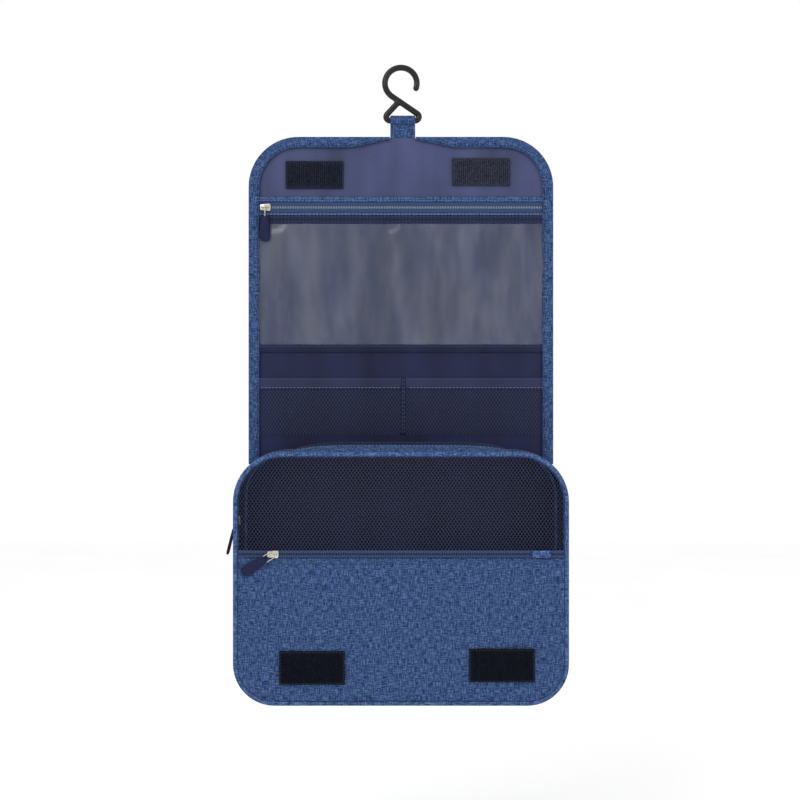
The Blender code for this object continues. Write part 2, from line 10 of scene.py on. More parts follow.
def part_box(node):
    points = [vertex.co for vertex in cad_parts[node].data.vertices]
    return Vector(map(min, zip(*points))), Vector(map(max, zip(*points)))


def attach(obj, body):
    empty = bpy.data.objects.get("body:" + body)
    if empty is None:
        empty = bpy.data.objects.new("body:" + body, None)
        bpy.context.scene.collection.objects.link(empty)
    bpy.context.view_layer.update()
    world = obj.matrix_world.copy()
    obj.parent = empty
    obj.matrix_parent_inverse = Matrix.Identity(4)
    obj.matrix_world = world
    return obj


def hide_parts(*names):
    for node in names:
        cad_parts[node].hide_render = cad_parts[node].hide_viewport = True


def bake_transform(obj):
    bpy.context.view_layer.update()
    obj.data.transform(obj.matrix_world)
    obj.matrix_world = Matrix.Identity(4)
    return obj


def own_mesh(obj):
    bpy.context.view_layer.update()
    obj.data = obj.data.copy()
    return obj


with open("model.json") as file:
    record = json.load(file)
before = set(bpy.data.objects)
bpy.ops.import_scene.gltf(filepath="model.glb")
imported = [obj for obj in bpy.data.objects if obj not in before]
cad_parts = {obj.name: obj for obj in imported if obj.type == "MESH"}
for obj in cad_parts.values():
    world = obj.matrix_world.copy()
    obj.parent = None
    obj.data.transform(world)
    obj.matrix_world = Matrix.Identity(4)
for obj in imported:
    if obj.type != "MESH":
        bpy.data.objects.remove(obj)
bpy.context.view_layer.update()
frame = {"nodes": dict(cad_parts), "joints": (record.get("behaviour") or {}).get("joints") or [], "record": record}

# ---- the hook -------------------------------------------------------------------------------------------
# One moulding of glossy black plastic: a round rod bent over the rail, down on a slant and round to a level
# bar, which carries the bag's loop. The bar's short arm comes back up and is fused to the slanting shank.

low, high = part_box("hook")
ROD_R = (high.y - low.y) / 2 * 0.8  # the fused lump is a little fatter than the rod
CROWN_R = 0.0122
CROWN_Z = ROD_R - CROWN_R
CROWN_TIP = -18.0
CROWN_END = 235.3
BAR = Vector(next(j for j in frame["joints"] if j["name"] == "loop_swing")["pos_m"])
BAR_LEFT = -0.0084
BAR_BEND = 0.0029
ARM_MEET = 0.0027
TIP_STEPS = 5


def add(tree, kind, settings=None, inputs=None):
    """A node with its settings; an input takes a plain value or another node's output."""
    made = tree.nodes.new(kind)
    for name, value in (settings or {}).items():
        setattr(made, name, value)
    for name, value in (inputs or {}).items():
        if isinstance(value, bpy.types.NodeSocket):
            tree.links.new(value, made.inputs[name])
        else:
            made.inputs[name].default_value = value
    return made


def maths(tree, operation, a, b=0.0):
    return add(tree, "ShaderNodeMath", {"operation": operation}, {0: a, 1: b}).outputs[0]


def ramp(tree, value, stops):
    """A colour ramp: stops are (place, grey or colour)."""
    made = add(tree, "ShaderNodeValToRGB", inputs={"Fac": value})
    elements = made.color_ramp.elements
    while len(elements) < len(stops):
        elements.new(0.5)
    for element, (place, colour) in zip(elements, stops):
        element.position = place
        grey = (colour,) * 3 if isinstance(colour, float) else colour
        element.color = (*grey, 1)
    return made.outputs["Color"]


def finish(name, roughness=0.5, metallic=0.0, **sockets):
    """A material with its tree and shader; what is the same all over is set on the shader's own sockets."""
    made = bpy.data.materials.new(name)
    made.use_nodes = True
    shader = made.node_tree.nodes["Principled BSDF"]
    shader.inputs["Roughness"].default_value = roughness
    shader.inputs["Metallic"].default_value = metallic
    for socket, value in sockets.items():
        shader.inputs[socket.replace("_", " ")].default_value = value
    return made, made.node_tree, shader


def relief(tree, shader, height, depth, strength=1.0):
    bump = add(tree, "ShaderNodeBump", inputs={"Height": height, "Distance": depth, "Strength": strength})
    tree.links.new(bump.outputs["Normal"], shader.inputs["Normal"])


def speckle(tree, scale, detail=3.0, source=None, roughness=0.6):
    """Noise in the piece's own space, or in that of a given vector; scale is in grains a metre."""
    source = source or add(tree, "ShaderNodeTexCoord").outputs["Object"]
    found = {"Vector": source, "Scale": scale, "Detail": detail, "Roughness": roughness}
    return add(tree, "ShaderNodeTexNoise", inputs=found).outputs["Fac"]


def gloss_black():
    made, tree, shader = finish("hook_plastic", 0.2, Specular_IOR_Level=0.28, Coat_Weight=0.12,
                                Coat_Roughness=0.08)
    cloud = speckle(tree, 900)
    tree.links.new(ramp(tree, cloud, ((0.35, (0.002, 0.002, 0.003)), (0.7, (0.005, 0.005, 0.006)))),
                   shader.inputs["Base Color"])
    tree.links.new(ramp(tree, speckle(tree, 400), ((0.3, 0.14), (0.75, 0.3))), shader.inputs["Roughness"])
    relief(tree, shader, speckle(tree, 2600), 0.00004, 0.4)
    return made


def arc(cx, cz, r, start, end, steps):
    """Points on an arc in X and Z, angles in degrees."""
    angles = (math.radians(start + (end - start) * i / steps) for i in range(steps + 1))
    return [(cx + r * math.cos(a), cz + r * math.sin(a)) for a in angles]


def set_down(piece, name=None):
    """The same piece as a plain mesh at the origin, with its modifiers and its place worked in."""
    bpy.context.view_layer.update()
    graph = bpy.context.evaluated_depsgraph_get()
    mesh = bpy.data.meshes.new_from_object(piece.evaluated_get(graph), depsgraph=graph)
    mesh.transform(piece.matrix_world)
    name = name or piece.name
    bpy.data.objects.remove(piece)
    made = bpy.data.objects.new(name, mesh)
    made.name = name
    bpy.context.scene.collection.objects.link(made)
    return made


def rod(name, points, radius, material, closed=False, sides=12, round_ends=True):
    """A round bar or wire along points; its ends are domed."""
    points = [Vector(p) for p in points]
    swell = [1.0] * len(points)
    if round_ends and not closed:
        for end, inner in ((0, 1), (-1, -2)):
            out = (points[end] - points[inner]).normalized() * radius
            start = points[end].copy()
            dome = [math.radians(90 * k / TIP_STEPS) for k in range(1, TIP_STEPS + 1)]
            tips = [(start + out * math.sin(a), max(math.cos(a), 0.02)) for a in dome]
            if end == 0:
                points = [p for p, _ in reversed(tips)] + points
                swell = [w for _, w in reversed(tips)] + swell
            else:
                points += [p for p, _ in tips]
                swell += [w for _, w in tips]
    curve = bpy.data.curves.new(name, "CURVE")
    curve.dimensions = "3D"
    curve.bevel_depth = radius
    curve.bevel_resolution = max(sides // 2 - 2, 0)
    curve.use_fill_caps = not closed
    curve.twist_mode = "MINIMUM"
    spline = curve.splines.new("POLY")
    spline.points.add(len(points) - 1)
    for point, place, width in zip(spline.points, points, swell):
        point.co = (*place, 1)
        point.radius = width
    spline.use_cyclic_u = closed
    made = bpy.data.objects.new(name, curve)
    bpy.context.scene.collection.objects.link(made)
    made = set_down(made)
    made.data.materials.clear()
    made.data.materials.append(material)
    smooth(made)
    return made


def smooth(piece, angle=45):
    """Welded, faces outwards, shaded smooth except over sharp edges."""
    bm = bmesh.new()
    bm.from_mesh(piece.data)
    bmesh.ops.remove_doubles(bm, verts=bm.verts, dist=1e-7)
    bmesh.ops.recalc_face_normals(bm, faces=bm.faces)
    bm.to_mesh(piece.data)
    bm.free()
    piece.data.shade_smooth()
    piece.data.set_sharp_from_angle(angle=math.radians(angle))
    return piece


def mesh_from(name, bm, *materials):
    """A mesh from finished mesh work, with its materials."""
    mesh = bpy.data.meshes.new(name)
    bm.to_mesh(mesh)
    bm.free()
    for material in materials:
        mesh.materials.append(material)
    return mesh


def piece_from(name, bm, *materials):
    """A new piece from finished mesh work."""
    made = bpy.data.objects.new(name, mesh_from(name, bm, *materials))
    bpy.context.scene.collection.objects.link(made)
    return made


def joined(name, pieces):
    """Several plain meshes as one; the first one's materials come first and the others' are added."""
    slots = []
    for piece in pieces:
        for material in piece.data.materials:
            if material not in slots:
                slots.append(material)
    bm = bmesh.new()
    for piece in pieces:
        start = len(bm.faces)
        bm.from_mesh(piece.data)
        bm.faces.ensure_lookup_table()
        places = [slots.index(m) for m in piece.data.materials]
        for face in bm.faces[start:]:
            face.material_index = places[face.material_index]
    for piece in pieces:
        bpy.data.objects.remove(piece)
    return piece_from(name, bm, *slots)


def hook_route():
    """The rod's middle line from the crown's tip round to the end of the short arm."""
    leave = math.radians(CROWN_END)
    start = Vector((CROWN_R * math.cos(leave), CROWN_Z + CROWN_R * math.sin(leave)))
    down = Vector((-math.sin(leave), math.cos(leave)))
    outward = Vector((-down.y, down.x))
    bend_z = BAR.z + BAR_BEND
    left = Vector((BAR_LEFT, bend_z))
    along = (bend_z - start.y + BAR_BEND * outward.y) / down.y
    right = start + down * along - outward * BAR_BEND
    meet = start + down * ((BAR.x - ARM_MEET - start.x) / down.x)
    reach = meet - left
    turn = math.degrees(math.atan2(reach.y, reach.x) + math.acos(BAR_BEND / reach.length))
    route = arc(0, CROWN_Z, CROWN_R, CROWN_TIP, CROWN_END, 56)
    route += [tuple(start + (right + outward * BAR_BEND - start) * k / 6) for k in range(1, 6)]
    route += arc(right.x, right.y, BAR_BEND, math.degrees(math.atan2(outward.y, outward.x)), -90, 14)
    route += arc(left.x, left.y, BAR_BEND, 270, turn, 14)
    tangent = Vector(route[-1])
    route += [tuple(tangent + (meet - tangent) * k / 5) for k in range(1, 6)]
    return [(x, 0, z) for x, z in route], meet


black = gloss_black()
route, weld = hook_route()
hook_rod = rod("hook_rod", route, ROD_R, black, sides=24)
bm = bmesh.new()
bmesh.ops.create_uvsphere(bm, u_segments=24, v_segments=16, radius=ROD_R * 1.25)
bmesh.ops.scale(bm, verts=bm.verts, vec=(1.0, 0.98, 0.9))
bmesh.ops.translate(bm, verts=bm.verts, vec=(weld.x - 0.0012, 0, weld.y - 0.0012))
fused = piece_from("hook_fused_end", bm, black)
hook = joined("carrying_hook", [hook_rod, fused])
fuse = hook.modifiers.new("fuse", "REMESH")
fuse.mode = "VOXEL"
fuse.voxel_size = 0.00032
fuse.use_smooth_shade = True
ease = hook.modifiers.new("ease", "SMOOTH")
ease.factor = 0.6
ease.iterations = 8
hook = set_down(hook)
if not hook.data.materials:
    hook.data.materials.append(black)
hook.data.shade_smooth()
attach(hook, "hook")
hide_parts("hook")

# ---- the outer cloth and its foam ------------------------------------------------------------------------
# One long piece of blue melange canvas backed with thin soft foam, the whole height of the bag. It is cut
# round at the top corners.

BACK_MOUNT = Vector(next(m for m in frame["record"]["mounts"] if m["name"] == "back")["axis"])
LEAN = math.atan2(BACK_MOUNT.z, BACK_MOUNT.y)  # the empty bag's foot hangs a little back
HANG = Matrix.Translation(BAR) @ Matrix.Rotation(LEAN, 4, "X") @ Matrix.Translation(-BAR)
STOOD_UP = HANG.inverted()


def upright(node):
    """A frame node's lowest and highest corners with the bag stood upright, as everything is made."""
    co = np.array([STOOD_UP @ v.co for v in frame["nodes"][node].data.vertices])
    return Vector(co.min(0)), Vector(co.max(0))


def pivot(joint):
    found = next(j for j in frame["joints"] if j["name"] == joint)
    return STOOD_UP @ Vector(found["pos_m"])


def let_hang(piece):
    """Turn a finished piece about the hook's bar, to where the hanging bag has it."""
    piece.data.transform(HANG)
    piece.data.update()
    return piece


def fit(piece, body, nodes=()):
    """Hang a piece, fix it to a body and let it stand for its frame nodes."""
    let_hang(piece)
    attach(piece, body)
    if nodes:
        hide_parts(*nodes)
    return piece


def fit_over_fold(piece, nodes=()):
    """Hang a piece and work its place into its mesh, without fixing it to a body."""
    let_hang(piece)
    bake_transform(piece)
    if nodes:
        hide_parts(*nodes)
    return piece


EDGE = upright("upper_binding_left")
PANEL_HALF = -EDGE[0].x
PANEL_TOP = EDGE[1].z
PANEL_CORNER = 0.038
LAYER_INSET = 0.0009  # the layers stop inside the binding
UPPER_FOLD = pivot("upper_fold").z
LOWER_FOLD = pivot("lower_fold").z
MID_PANEL = (UPPER_FOLD + LOWER_FOLD) / 2
PIPE = upright("front_piping")
BAG_HALF = PIPE[1].x
BAG_TOP, BAG_FOOT = PIPE[1].z, PIPE[0].z
BAG_TOP_CORNER = 0.036
BAG_FOOT_CORNER = 0.030
SHELL_BACK = upright("upper_shell")[1].y
FOAM_FRONT = upright("upper_foam")[0].y
PUFF = 0.0006
YARN_PITCH = 0.0007
ROW = 0.004  # how far apart the rows of points lie in a cloth panel
CORNER_ROWS = 10


def heather(name="melange_canvas", light=1.0):
    """Blue canvas woven from slubbed light, mid and dark yarns; its threads follow the cloth."""
    made, tree, shader = finish(name, 0.92, Specular_IOR_Level=0.18)
    cloth = add(tree, "ShaderNodeUVMap", {"uv_map": "cloth"}).outputs["UV"]

    def yarns(across, along, detail=2.0):
        scaled = add(tree, "ShaderNodeMapping", inputs={"Vector": cloth, "Scale": (across, along, 1.0)})
        return speckle(tree, 1.0, detail, scaled.outputs["Vector"])

    warp = yarns(1500, 190)
    weft = yarns(210, 1700)
    slub = yarns(620, 620, 4.0)
    mixed = maths(tree, "ADD", maths(tree, "MULTIPLY", warp, 0.42), maths(tree, "MULTIPLY", weft, 0.42))
    mixed = maths(tree, "ADD", mixed, maths(tree, "MULTIPLY", slub, 0.16))
    tones = ((0.41, (0.007, 0.016, 0.050)), (0.465, (0.019, 0.043, 0.118)), (0.52, (0.036, 0.076, 0.190)),
             (0.59, (0.085, 0.142, 0.295)))
    tones = tuple((place, tuple(c * light for c in colour)) for place, colour in tones)
    tree.links.new(ramp(tree, mixed, tones), shader.inputs["Base Color"])
    weave = []
    for place in (0, 1):  # across and down the cloth
        half = add(tree, "ShaderNodeSeparateXYZ", inputs={"Vector": cloth}).outputs[place]
        weave.append(maths(tree, "SINE", maths(tree, "MULTIPLY", half, 2 * math.pi / YARN_PITCH)))
    crossed = maths(tree, "MULTIPLY", *weave)
    height = maths(tree, "ADD", maths(tree, "MULTIPLY", crossed, 0.35), maths(tree, "MULTIPLY", mixed, 2.2))
    relief(tree, shader, height, 0.00018, 0.75)
    return made


def levels(top, bottom, top_corner=0.0, bottom_corner=0.0):
    """Heights for a panel's rows, close together where a corner is round."""
    found = []
    for k in range(CORNER_ROWS if top_corner else 0):
        found.append(top - top_corner * (1 - math.cos(math.radians(90 * k / CORNER_ROWS))))
    start, end = top - top_corner, bottom + bottom_corner
    rows = max(round((start - end) / ROW), 1)
    found += [start + (end - start) * k / rows for k in range(rows + 1)]
    for k in range(1, CORNER_ROWS + 1 if bottom_corner else 1):
        found.append(bottom + bottom_corner * (1 - math.sin(math.radians(90 * k / CORNER_ROWS))))
    return found


def rounded_half(z, half, top, bottom, top_corner, bottom_corner):
    """Half the width of a round-cornered panel at one height."""
    if top_corner and z > top - top_corner:
        up = min(z - (top - top_corner), top_corner)
        return half - top_corner + math.sqrt(max(top_corner**2 - up**2, 0))
    if bottom_corner and z < bottom + bottom_corner:
        down = min(bottom + bottom_corner - z, bottom_corner)
        return half - bottom_corner + math.sqrt(max(bottom_corner**2 - down**2, 0))
    return half


def grid(name, rows, left_at, right_at, depth_at, material):
    """A cloth panel facing the front: rows of points from side to side, with the cloth's own flat measure."""
    widest = max(right_at(z) - left_at(z) for z in rows)
    columns = max(round(widest / ROW), 2)
    bm = bmesh.new()
    lines = []
    for z in rows:
        left, right = left_at(z), right_at(z)
        xs = [left + (right - left) * c / columns for c in range(columns + 1)]
        lines.append([bm.verts.new((x, depth_at(x, z), z)) for x in xs])
    cloth = bm.loops.layers.uv.new("cloth")
    for upper, lower in zip(lines, lines[1:]):
        for c in range(columns):
            face = bm.faces.new((lower[c], lower[c + 1], upper[c + 1], upper[c]))
            for loop in face.loops:
                loop[cloth].uv = (loop.vert.co.x, loop.vert.co.z)
    return piece_from(name, bm, material)


def thicken(piece, thick, even=False):
    """Give a sheet its thickness, away from the face that it shows."""
    wall = piece.modifiers.new("thickness", "SOLIDIFY")
    wall.thickness = thick
    wall.offset = -1
    wall.use_even_offset = even
    made = set_down(piece)
    made.data.shade_smooth()
    made.data.set_sharp_from_angle(angle=math.radians(50))
    return made


def ripple(x, z, size, seed):
    """A soft unevenness from -1 to 1 over a cloth; size is one wave's length."""
    return noise.noise(Vector((x / size, z / size, seed)))


def mirrored(half_at):
    return (lambda z: -half_at(z)), half_at


def shell_half(z):
    """Half the outer cloth's width: round at the top, straight to the bag, then the bag's own outline."""
    bag = rounded_half(z, BAG_HALF - 0.0003, BAG_TOP, BAG_FOOT + 0.0003, BAG_TOP_CORNER, BAG_FOOT_CORNER)
    if z > BAG_TOP:
        top = PANEL_TOP - LAYER_INSET
        return rounded_half(z, PANEL_HALF - LAYER_INSET, top, BAG_FOOT, PANEL_CORNER - LAYER_INSET, 0)
    return max(bag, PANEL_HALF - LAYER_INSET) if z > BAG_TOP - BAG_TOP_CORNER else bag


def foam_puff(x, z):
    """The padded back swells a little between its edges and dips along the folds."""
    side = min(1.0, (shell_half(z) - abs(x)) / 0.02)
    ends = min(abs(z - e) for e in (PANEL_TOP, UPPER_FOLD, LOWER_FOLD, BAG_FOOT))
    swell = PUFF * math.sqrt(max(side, 0)) * math.sqrt(min(1.0, ends / 0.02))
    return swell + 0.00025 * ripple(x, z, 0.05, 4.0)


def outer_cloth(name, rows):
    """The canvas at the back over its foam, made facing back and closed at the front by the foam's face."""
    piece = grid(name, rows, *mirrored(shell_half), lambda x, z: SHELL_BACK - PUFF + foam_puff(x, z), canvas)
    for face in piece.data.polygons:
        face.flip()
    return thicken(piece, SHELL_BACK - PUFF - FOAM_FRONT)


canvas = heather()
top_rows = levels(PANEL_TOP - LAYER_INSET, MID_PANEL, PANEL_CORNER - LAYER_INSET)
shell_above = outer_cloth("outer_cloth_upper", top_rows)
fit_over_fold(shell_above,
              ("upper_shell", "upper_foam"))
foot_rows = levels(MID_PANEL, BAG_FOOT + 0.0003, 0, BAG_FOOT_CORNER)
shell_below = outer_cloth("outer_cloth_lower", foot_rows)
fit_over_fold(shell_below,
              ("middle_shell", "middle_foam", "back_shell", "back_foam"))

# ---- the linings -----------------------------------------------------------------------------------------
# Thin woven linings sewn in with the outer cloth: a smooth satin one under the flap and in the bag, and a
# plain dark one behind the net pockets. Each is a flat cut that lies a little loose.

LINING_FRONT = upright("upper_lining")[0].y
LINING_THICK = 0.0004
SEWN_MARGIN = 0.012  # beside a seam, where a lining can't move


def satin(name, dark, light, gleam, shine=0.3):
    """Fine lining cloth: a fine thread tone under broad bands of painted sheen that run along its threads; its
    roughness follows the same bands.
    """
    made, tree, shader = finish(name, 0.42, Specular_IOR_Level=shine)
    cloth = add(tree, "ShaderNodeUVMap", {"uv_map": "cloth"}).outputs["UV"]
    fine = add(tree, "ShaderNodeMapping", inputs={"Vector": cloth, "Scale": (4200.0, 700.0, 1.0)})
    threads = speckle(tree, 1.0, 2.0, fine.outputs["Vector"])
    wide = add(tree, "ShaderNodeMapping", inputs={"Vector": cloth, "Scale": (26.0, 9.0, 1.0)})
    sheen_drift = speckle(tree, 1.0, 2.0, wide.outputs["Vector"])
    tone = maths(tree, "ADD", maths(tree, "MULTIPLY", threads, 0.4), maths(tree, "MULTIPLY", sheen_drift, 0.6))
    # painted sheen: the broad bands lighten and darken the colour, over the fine thread tone
    tree.links.new(ramp(tree, tone, ((0.36, dark), (0.62, light))), shader.inputs["Base Color"])
    tree.links.new(ramp(tree, sheen_drift, ((0.3, gleam), (0.7, gleam + 0.16))), shader.inputs["Roughness"])
    relief(tree, shader, threads, 0.00005, 0.5)
    return made


def lining(name, rows, half_at, material, front, seed, loose=0.0002):
    """A lining that lies a little loose: long soft waves, no further forward than its neighbours allow."""

    def depth(x, z):
        near = min(1.0, (half_at(z) - abs(x)) / SEWN_MARGIN)
        return front + loose * max(near, 0) * (ripple(x * 1.6, z * 0.6, 0.028, seed) - 0.4)

    return thicken(grid(name, rows, *mirrored(half_at), depth, material), LINING_THICK)


def panel_half(z):
    top = PANEL_TOP - LAYER_INSET
    return rounded_half(z, PANEL_HALF - LAYER_INSET, top, BAG_FOOT, PANEL_CORNER - LAYER_INSET, 0)


def over_panels(z):
    return PANEL_HALF - LAYER_INSET


inner_satin = satin("flap_satin", (0.020, 0.027, 0.072), (0.052, 0.064, 0.160), 0.34)
inner_dark = satin("pocket_lining_cloth", (0.006, 0.008, 0.028), (0.015, 0.019, 0.062), 0.45, 0.16)
FLAP_END = UPPER_FOLD + 0.007
upper_rows = levels(PANEL_TOP - LAYER_INSET, FLAP_END, PANEL_CORNER - LAYER_INSET)
flap_lining = lining("flap_lining", upper_rows, panel_half, inner_satin, LINING_FRONT, 1.0, 0.0007)
fit(flap_lining, "upper_panel", ("upper_lining",))
POCKET_END = LOWER_FOLD + 0.007
pocket_rows = levels(FLAP_END, POCKET_END)
pocket_lining = lining("pocket_lining", pocket_rows, over_panels, inner_dark, LINING_FRONT, 2.0)
fit_over_fold(pocket_lining, ("middle_lining",))
SHOULDER = BAG_TOP - 0.0045
fold_lining = lining("fold_lining", levels(POCKET_END, SHOULDER), over_panels, inner_dark, LINING_FRONT, 3.0)
fit_over_fold(fold_lining)
back_rows = levels(SHOULDER, BAG_FOOT + 0.0006, 0, BAG_FOOT_CORNER)
satin_dark = satin("bag_satin", (0.006, 0.008, 0.026), (0.018, 0.022, 0.064), 0.4, 0.14)
back_lining = lining("bag_back_lining", back_rows, lambda z: shell_half(z) - 0.0006, satin_dark, LINING_FRONT,
                     5.0, 0.0004)
fit(back_lining, "bag", ("back_lining",))

# ---- the stitching ---------------------------------------------------------------------------------------
# Lockstitch in polyester thread, a little paler than the cloth. Each visible stitch is a short plump bar
# sunk in at both ends, and the needle's spacing is even all along a seam.

STITCH_PITCH = 0.0027
STITCH_LENGTH = 0.0019
STITCH_R = 0.00026


def thread(name, colour):
    made, tree, shader = finish(name, 0.65, Specular_IOR_Level=0.2)
    dark = tuple(c * 0.7 for c in colour)
    tree.links.new(ramp(tree, speckle(tree, 3000), ((0.35, dark), (0.65, colour))),
                   shader.inputs["Base Color"])
    relief(tree, shader, speckle(tree, 6000), 0.00004, 0.6)
    return made


def bead(name, size, material, rings=4, sides=6):
    """A small rounded bar along X: a stitch or a zip tooth, with only a few dozen faces."""
    bm = bmesh.new()
    bmesh.ops.create_uvsphere(bm, u_segments=sides, v_segments=rings, radius=0.5)
    bmesh.ops.rotate(bm, verts=bm.verts, matrix=Matrix.Rotation(math.pi / 2, 3, "Y"))
    for vert in bm.verts:
        plump = math.copysign(abs(vert.co.x * 2) ** 0.6 / 2, vert.co.x)
        vert.co = (plump * size[0], vert.co.y * size[1], vert.co.z * size[2])
    mesh = mesh_from(name, bm, material)
    mesh.shade_smooth()
    return bpy.data.objects.new(name, mesh)


def row_tree():
    """Geometry nodes: copies of one small piece, evenly spaced along a line of edges and turned with it."""
    tree = bpy.data.node_groups.new("row_along_line", "GeometryNodeTree")
    face = tree.interface
    face.new_socket("Line", in_out="INPUT", socket_type="NodeSocketGeometry")
    face.new_socket("Piece", in_out="INPUT", socket_type="NodeSocketObject")
    face.new_socket("Spacing", in_out="INPUT", socket_type="NodeSocketFloat")
    face.new_socket("Turn", in_out="INPUT", socket_type="NodeSocketVector")
    face.new_socket("Finish", in_out="INPUT", socket_type="NodeSocketMaterial")
    face.new_socket("Row", in_out="OUTPUT", socket_type="NodeSocketGeometry")
    given = tree.nodes.new("NodeGroupInput")
    line = add(tree, "GeometryNodeMeshToCurve", inputs={"Mesh": given.outputs["Line"]})
    spaced = add(tree, "GeometryNodeCurveToPoints", {"mode": "LENGTH"},
                 {"Curve": line.outputs[0], "Length": given.outputs["Spacing"]})
    info = add(tree, "GeometryNodeObjectInfo", inputs={"Object": given.outputs["Piece"]})
    aimed = add(tree, "FunctionNodeAlignRotationToVector", {"axis": "X"},
                {"Vector": spaced.outputs["Tangent"]})
    turned = add(tree, "FunctionNodeRotateRotation", {"rotation_space": "LOCAL"},
                 {"Rotation": aimed.outputs[0], "Rotate By": given.outputs["Turn"]})
    placed = add(tree, "GeometryNodeInstanceOnPoints", inputs={"Points": spaced.outputs["Points"],
                 "Instance": info.outputs["Geometry"], "Rotation": turned.outputs[0]})
    real = add(tree, "GeometryNodeRealizeInstances", inputs={"Geometry": placed.outputs[0]})
    painted = add(tree, "GeometryNodeSetMaterial",
                  inputs={"Geometry": real.outputs[0], "Material": given.outputs["Finish"]})
    out = tree.nodes.new("NodeGroupOutput")
    tree.links.new(painted.outputs[0], out.inputs["Row"])
    return tree


def grow(name, source, tree, **values):
    """Run a node tree on an object and keep what it makes as a plain mesh."""
    modifier = source.modifiers.new(tree.name, "NODES")
    modifier.node_group = tree
    sockets = {s.name: s.identifier for s in tree.interface.items_tree if s.in_out == "INPUT"}
    for key, value in values.items():
        modifier[sockets[key.replace("_", " ")]] = value
    made = set_down(source, name)
    return made


def line_object(name, lines):
    """Edges through lists of points, for a row to follow."""
    mesh = bpy.data.meshes.new(name)
    points, edges = [], []
    for line in lines:
        start = len(points)
        points += [tuple(p) for p in line]
        edges += [(start + k, start + k + 1) for k in range(len(line) - 1)]
    mesh.from_pydata(points, edges, [])
    made = bpy.data.objects.new(name, mesh)
    bpy.context.scene.collection.objects.link(made)
    return made


along_line = row_tree()
pale_thread = thread("pale_thread", (0.16, 0.22, 0.37))
navy_thread = thread("navy_thread", (0.010, 0.016, 0.042))
blue_thread = thread("blue_thread", (0.050, 0.085, 0.20))
stitch = bead("one_stitch", (STITCH_LENGTH, 2 * STITCH_R, 2 * STITCH_R), pale_thread)


def stitches(name, lines, material=None, spacing=STITCH_PITCH):
    """Rows of stitches along lines of points that lie on the cloth's face."""
    source = line_object(name + "_line", lines)
    return grow(name, source, along_line, Piece=stitch, Spacing=spacing, Turn=(0.0, 0.0, 0.0),
                Finish=material or blue_thread)


def level_line(left, right, y, z, step=0.02):
    """Points along a level seam."""
    count = max(round((right - left) / step), 1)
    return [(left + (right - left) * k / count, y, z) for k in range(count + 1)]


def upright_line(x, y, top, bottom, step=0.01):
    count = max(round((top - bottom) / step), 1)
    return [(x, y, top + (bottom - top) * k / count) for k in range(count + 1)]


# ---- the hanging loop ------------------------------------------------------------------------------------
# A folded strap of the same canvas, wrapped round the hook's bar. Its two ends run down together between
# the outer cloth and the lining, and a row of stitches closes it just below the bar.

STRAP = upright("hanging_loop")
STRAP_THICK = 0.0010
STRAP_INNER = ROD_R + 0.00045


def strap_section():
    """The strap seen from its side: round the bar and down, as one closed outline in Y and Z."""
    outer = STRAP_INNER + STRAP_THICK
    foot = STRAP[0].z
    side = math.degrees(math.asin(STRAP_THICK / outer))
    wrap = arc(0, BAR.z, outer, -90 + side, 270 - side, 32)
    inner_side = math.degrees(math.asin(0.00012 / STRAP_INNER))
    hole = arc(0, BAR.z, STRAP_INNER, 270 - inner_side, -90 + inner_side, 32)
    down = [(-STRAP_THICK, BAR.z - outer - 0.003), (-STRAP_THICK * 0.8, foot), (-0.0001, foot)]
    up = [(0.0001, foot), (STRAP_THICK * 0.8, foot), (STRAP_THICK, BAR.z - outer - 0.003)]
    return wrap + down + list(hole) + up


def hanging_strap():
    """The strap's outline drawn across its width, its two edges turned in and a little rounded."""
    outline = strap_section()
    left, right = STRAP[0].x, STRAP[1].x
    edge = 0.0005
    xs = [left, left + edge] + [left + edge + (right - left - 2 * edge) * k / 8 for k in range(1, 8)]
    xs += [right - edge, right]
    bm = bmesh.new()
    cloth = bm.loops.layers.uv.new("cloth")
    middle = len(outline)
    rings = []
    for k, x in enumerate(xs):
        rim = 0.00018 if k in (0, len(xs) - 1) else 0.0
        ring = []
        for n, (y, z) in enumerate(outline):
            inward = Vector((0, y, z)) - Vector((0, 0, BAR.z if z > BAR.z - STRAP_INNER else z))
            at = Vector((x, y, z)) - (inward.normalized() * rim if inward.length > 1e-6 else Vector())
            ring.append(bm.verts.new(at))
        rings.append(ring)
    walk = [0.0]
    for n in range(middle):
        y, z = outline[(n + 1) % middle]
        walk.append(walk[-1] + math.hypot(y - outline[n][0], z - outline[n][1]))
    for k in range(len(xs) - 1):
        for n in range(middle):
            face = bm.faces.new((rings[k][n], rings[k][(n + 1) % middle],
                                 rings[k + 1][(n + 1) % middle], rings[k + 1][n]))
            for loop, (kx, kn) in zip(face.loops, ((k, n), (k, n + 1), (k + 1, n + 1), (k + 1, n))):
                loop[cloth].uv = (xs[kx], walk[kn])
    for ring in (rings[0], rings[-1]):
        for n in range(middle // 2):
            quad = (ring[n], ring[n + 1], ring[middle - n - 2], ring[middle - n - 1])
            if len(set(quad)) == 4:
                bm.faces.new(quad)
    made = piece_from("hanging_strap", bm, canvas)
    return smooth(made, 40)


fit(hanging_strap(), "upper_panel", ("hanging_loop",))
strap_z = (BAR.z - STRAP_INNER - STRAP_THICK + PANEL_TOP) / 2
strap_seam = level_line(STRAP[0].x + 0.002, STRAP[1].x - 0.002, -STRAP_THICK - 0.00015, strap_z, 0.004)
fit(stitches("hanging_strap_stitches", [strap_seam]), "upper_panel")

# ---- the hook-and-loop patches on the flap ----------------------------------------------------------------
# Two patches of black pile tape on the flap, a ribbed one at the left and a fuzzier one at the right. Each is
# a woven tape stitched on round its edge, with thousands of short monofilament loops standing up from it.

BRISTLES_PER_M2 = 2.6e6
RIB_PITCH_CLOTH = 0.0016
PILE_HEIGHT = 0.0009
PILE_BORDER = 0.0016  # the bare margin round the pile
PATCH_SEAM = 0.0009
BRISTLE_R = 0.00013


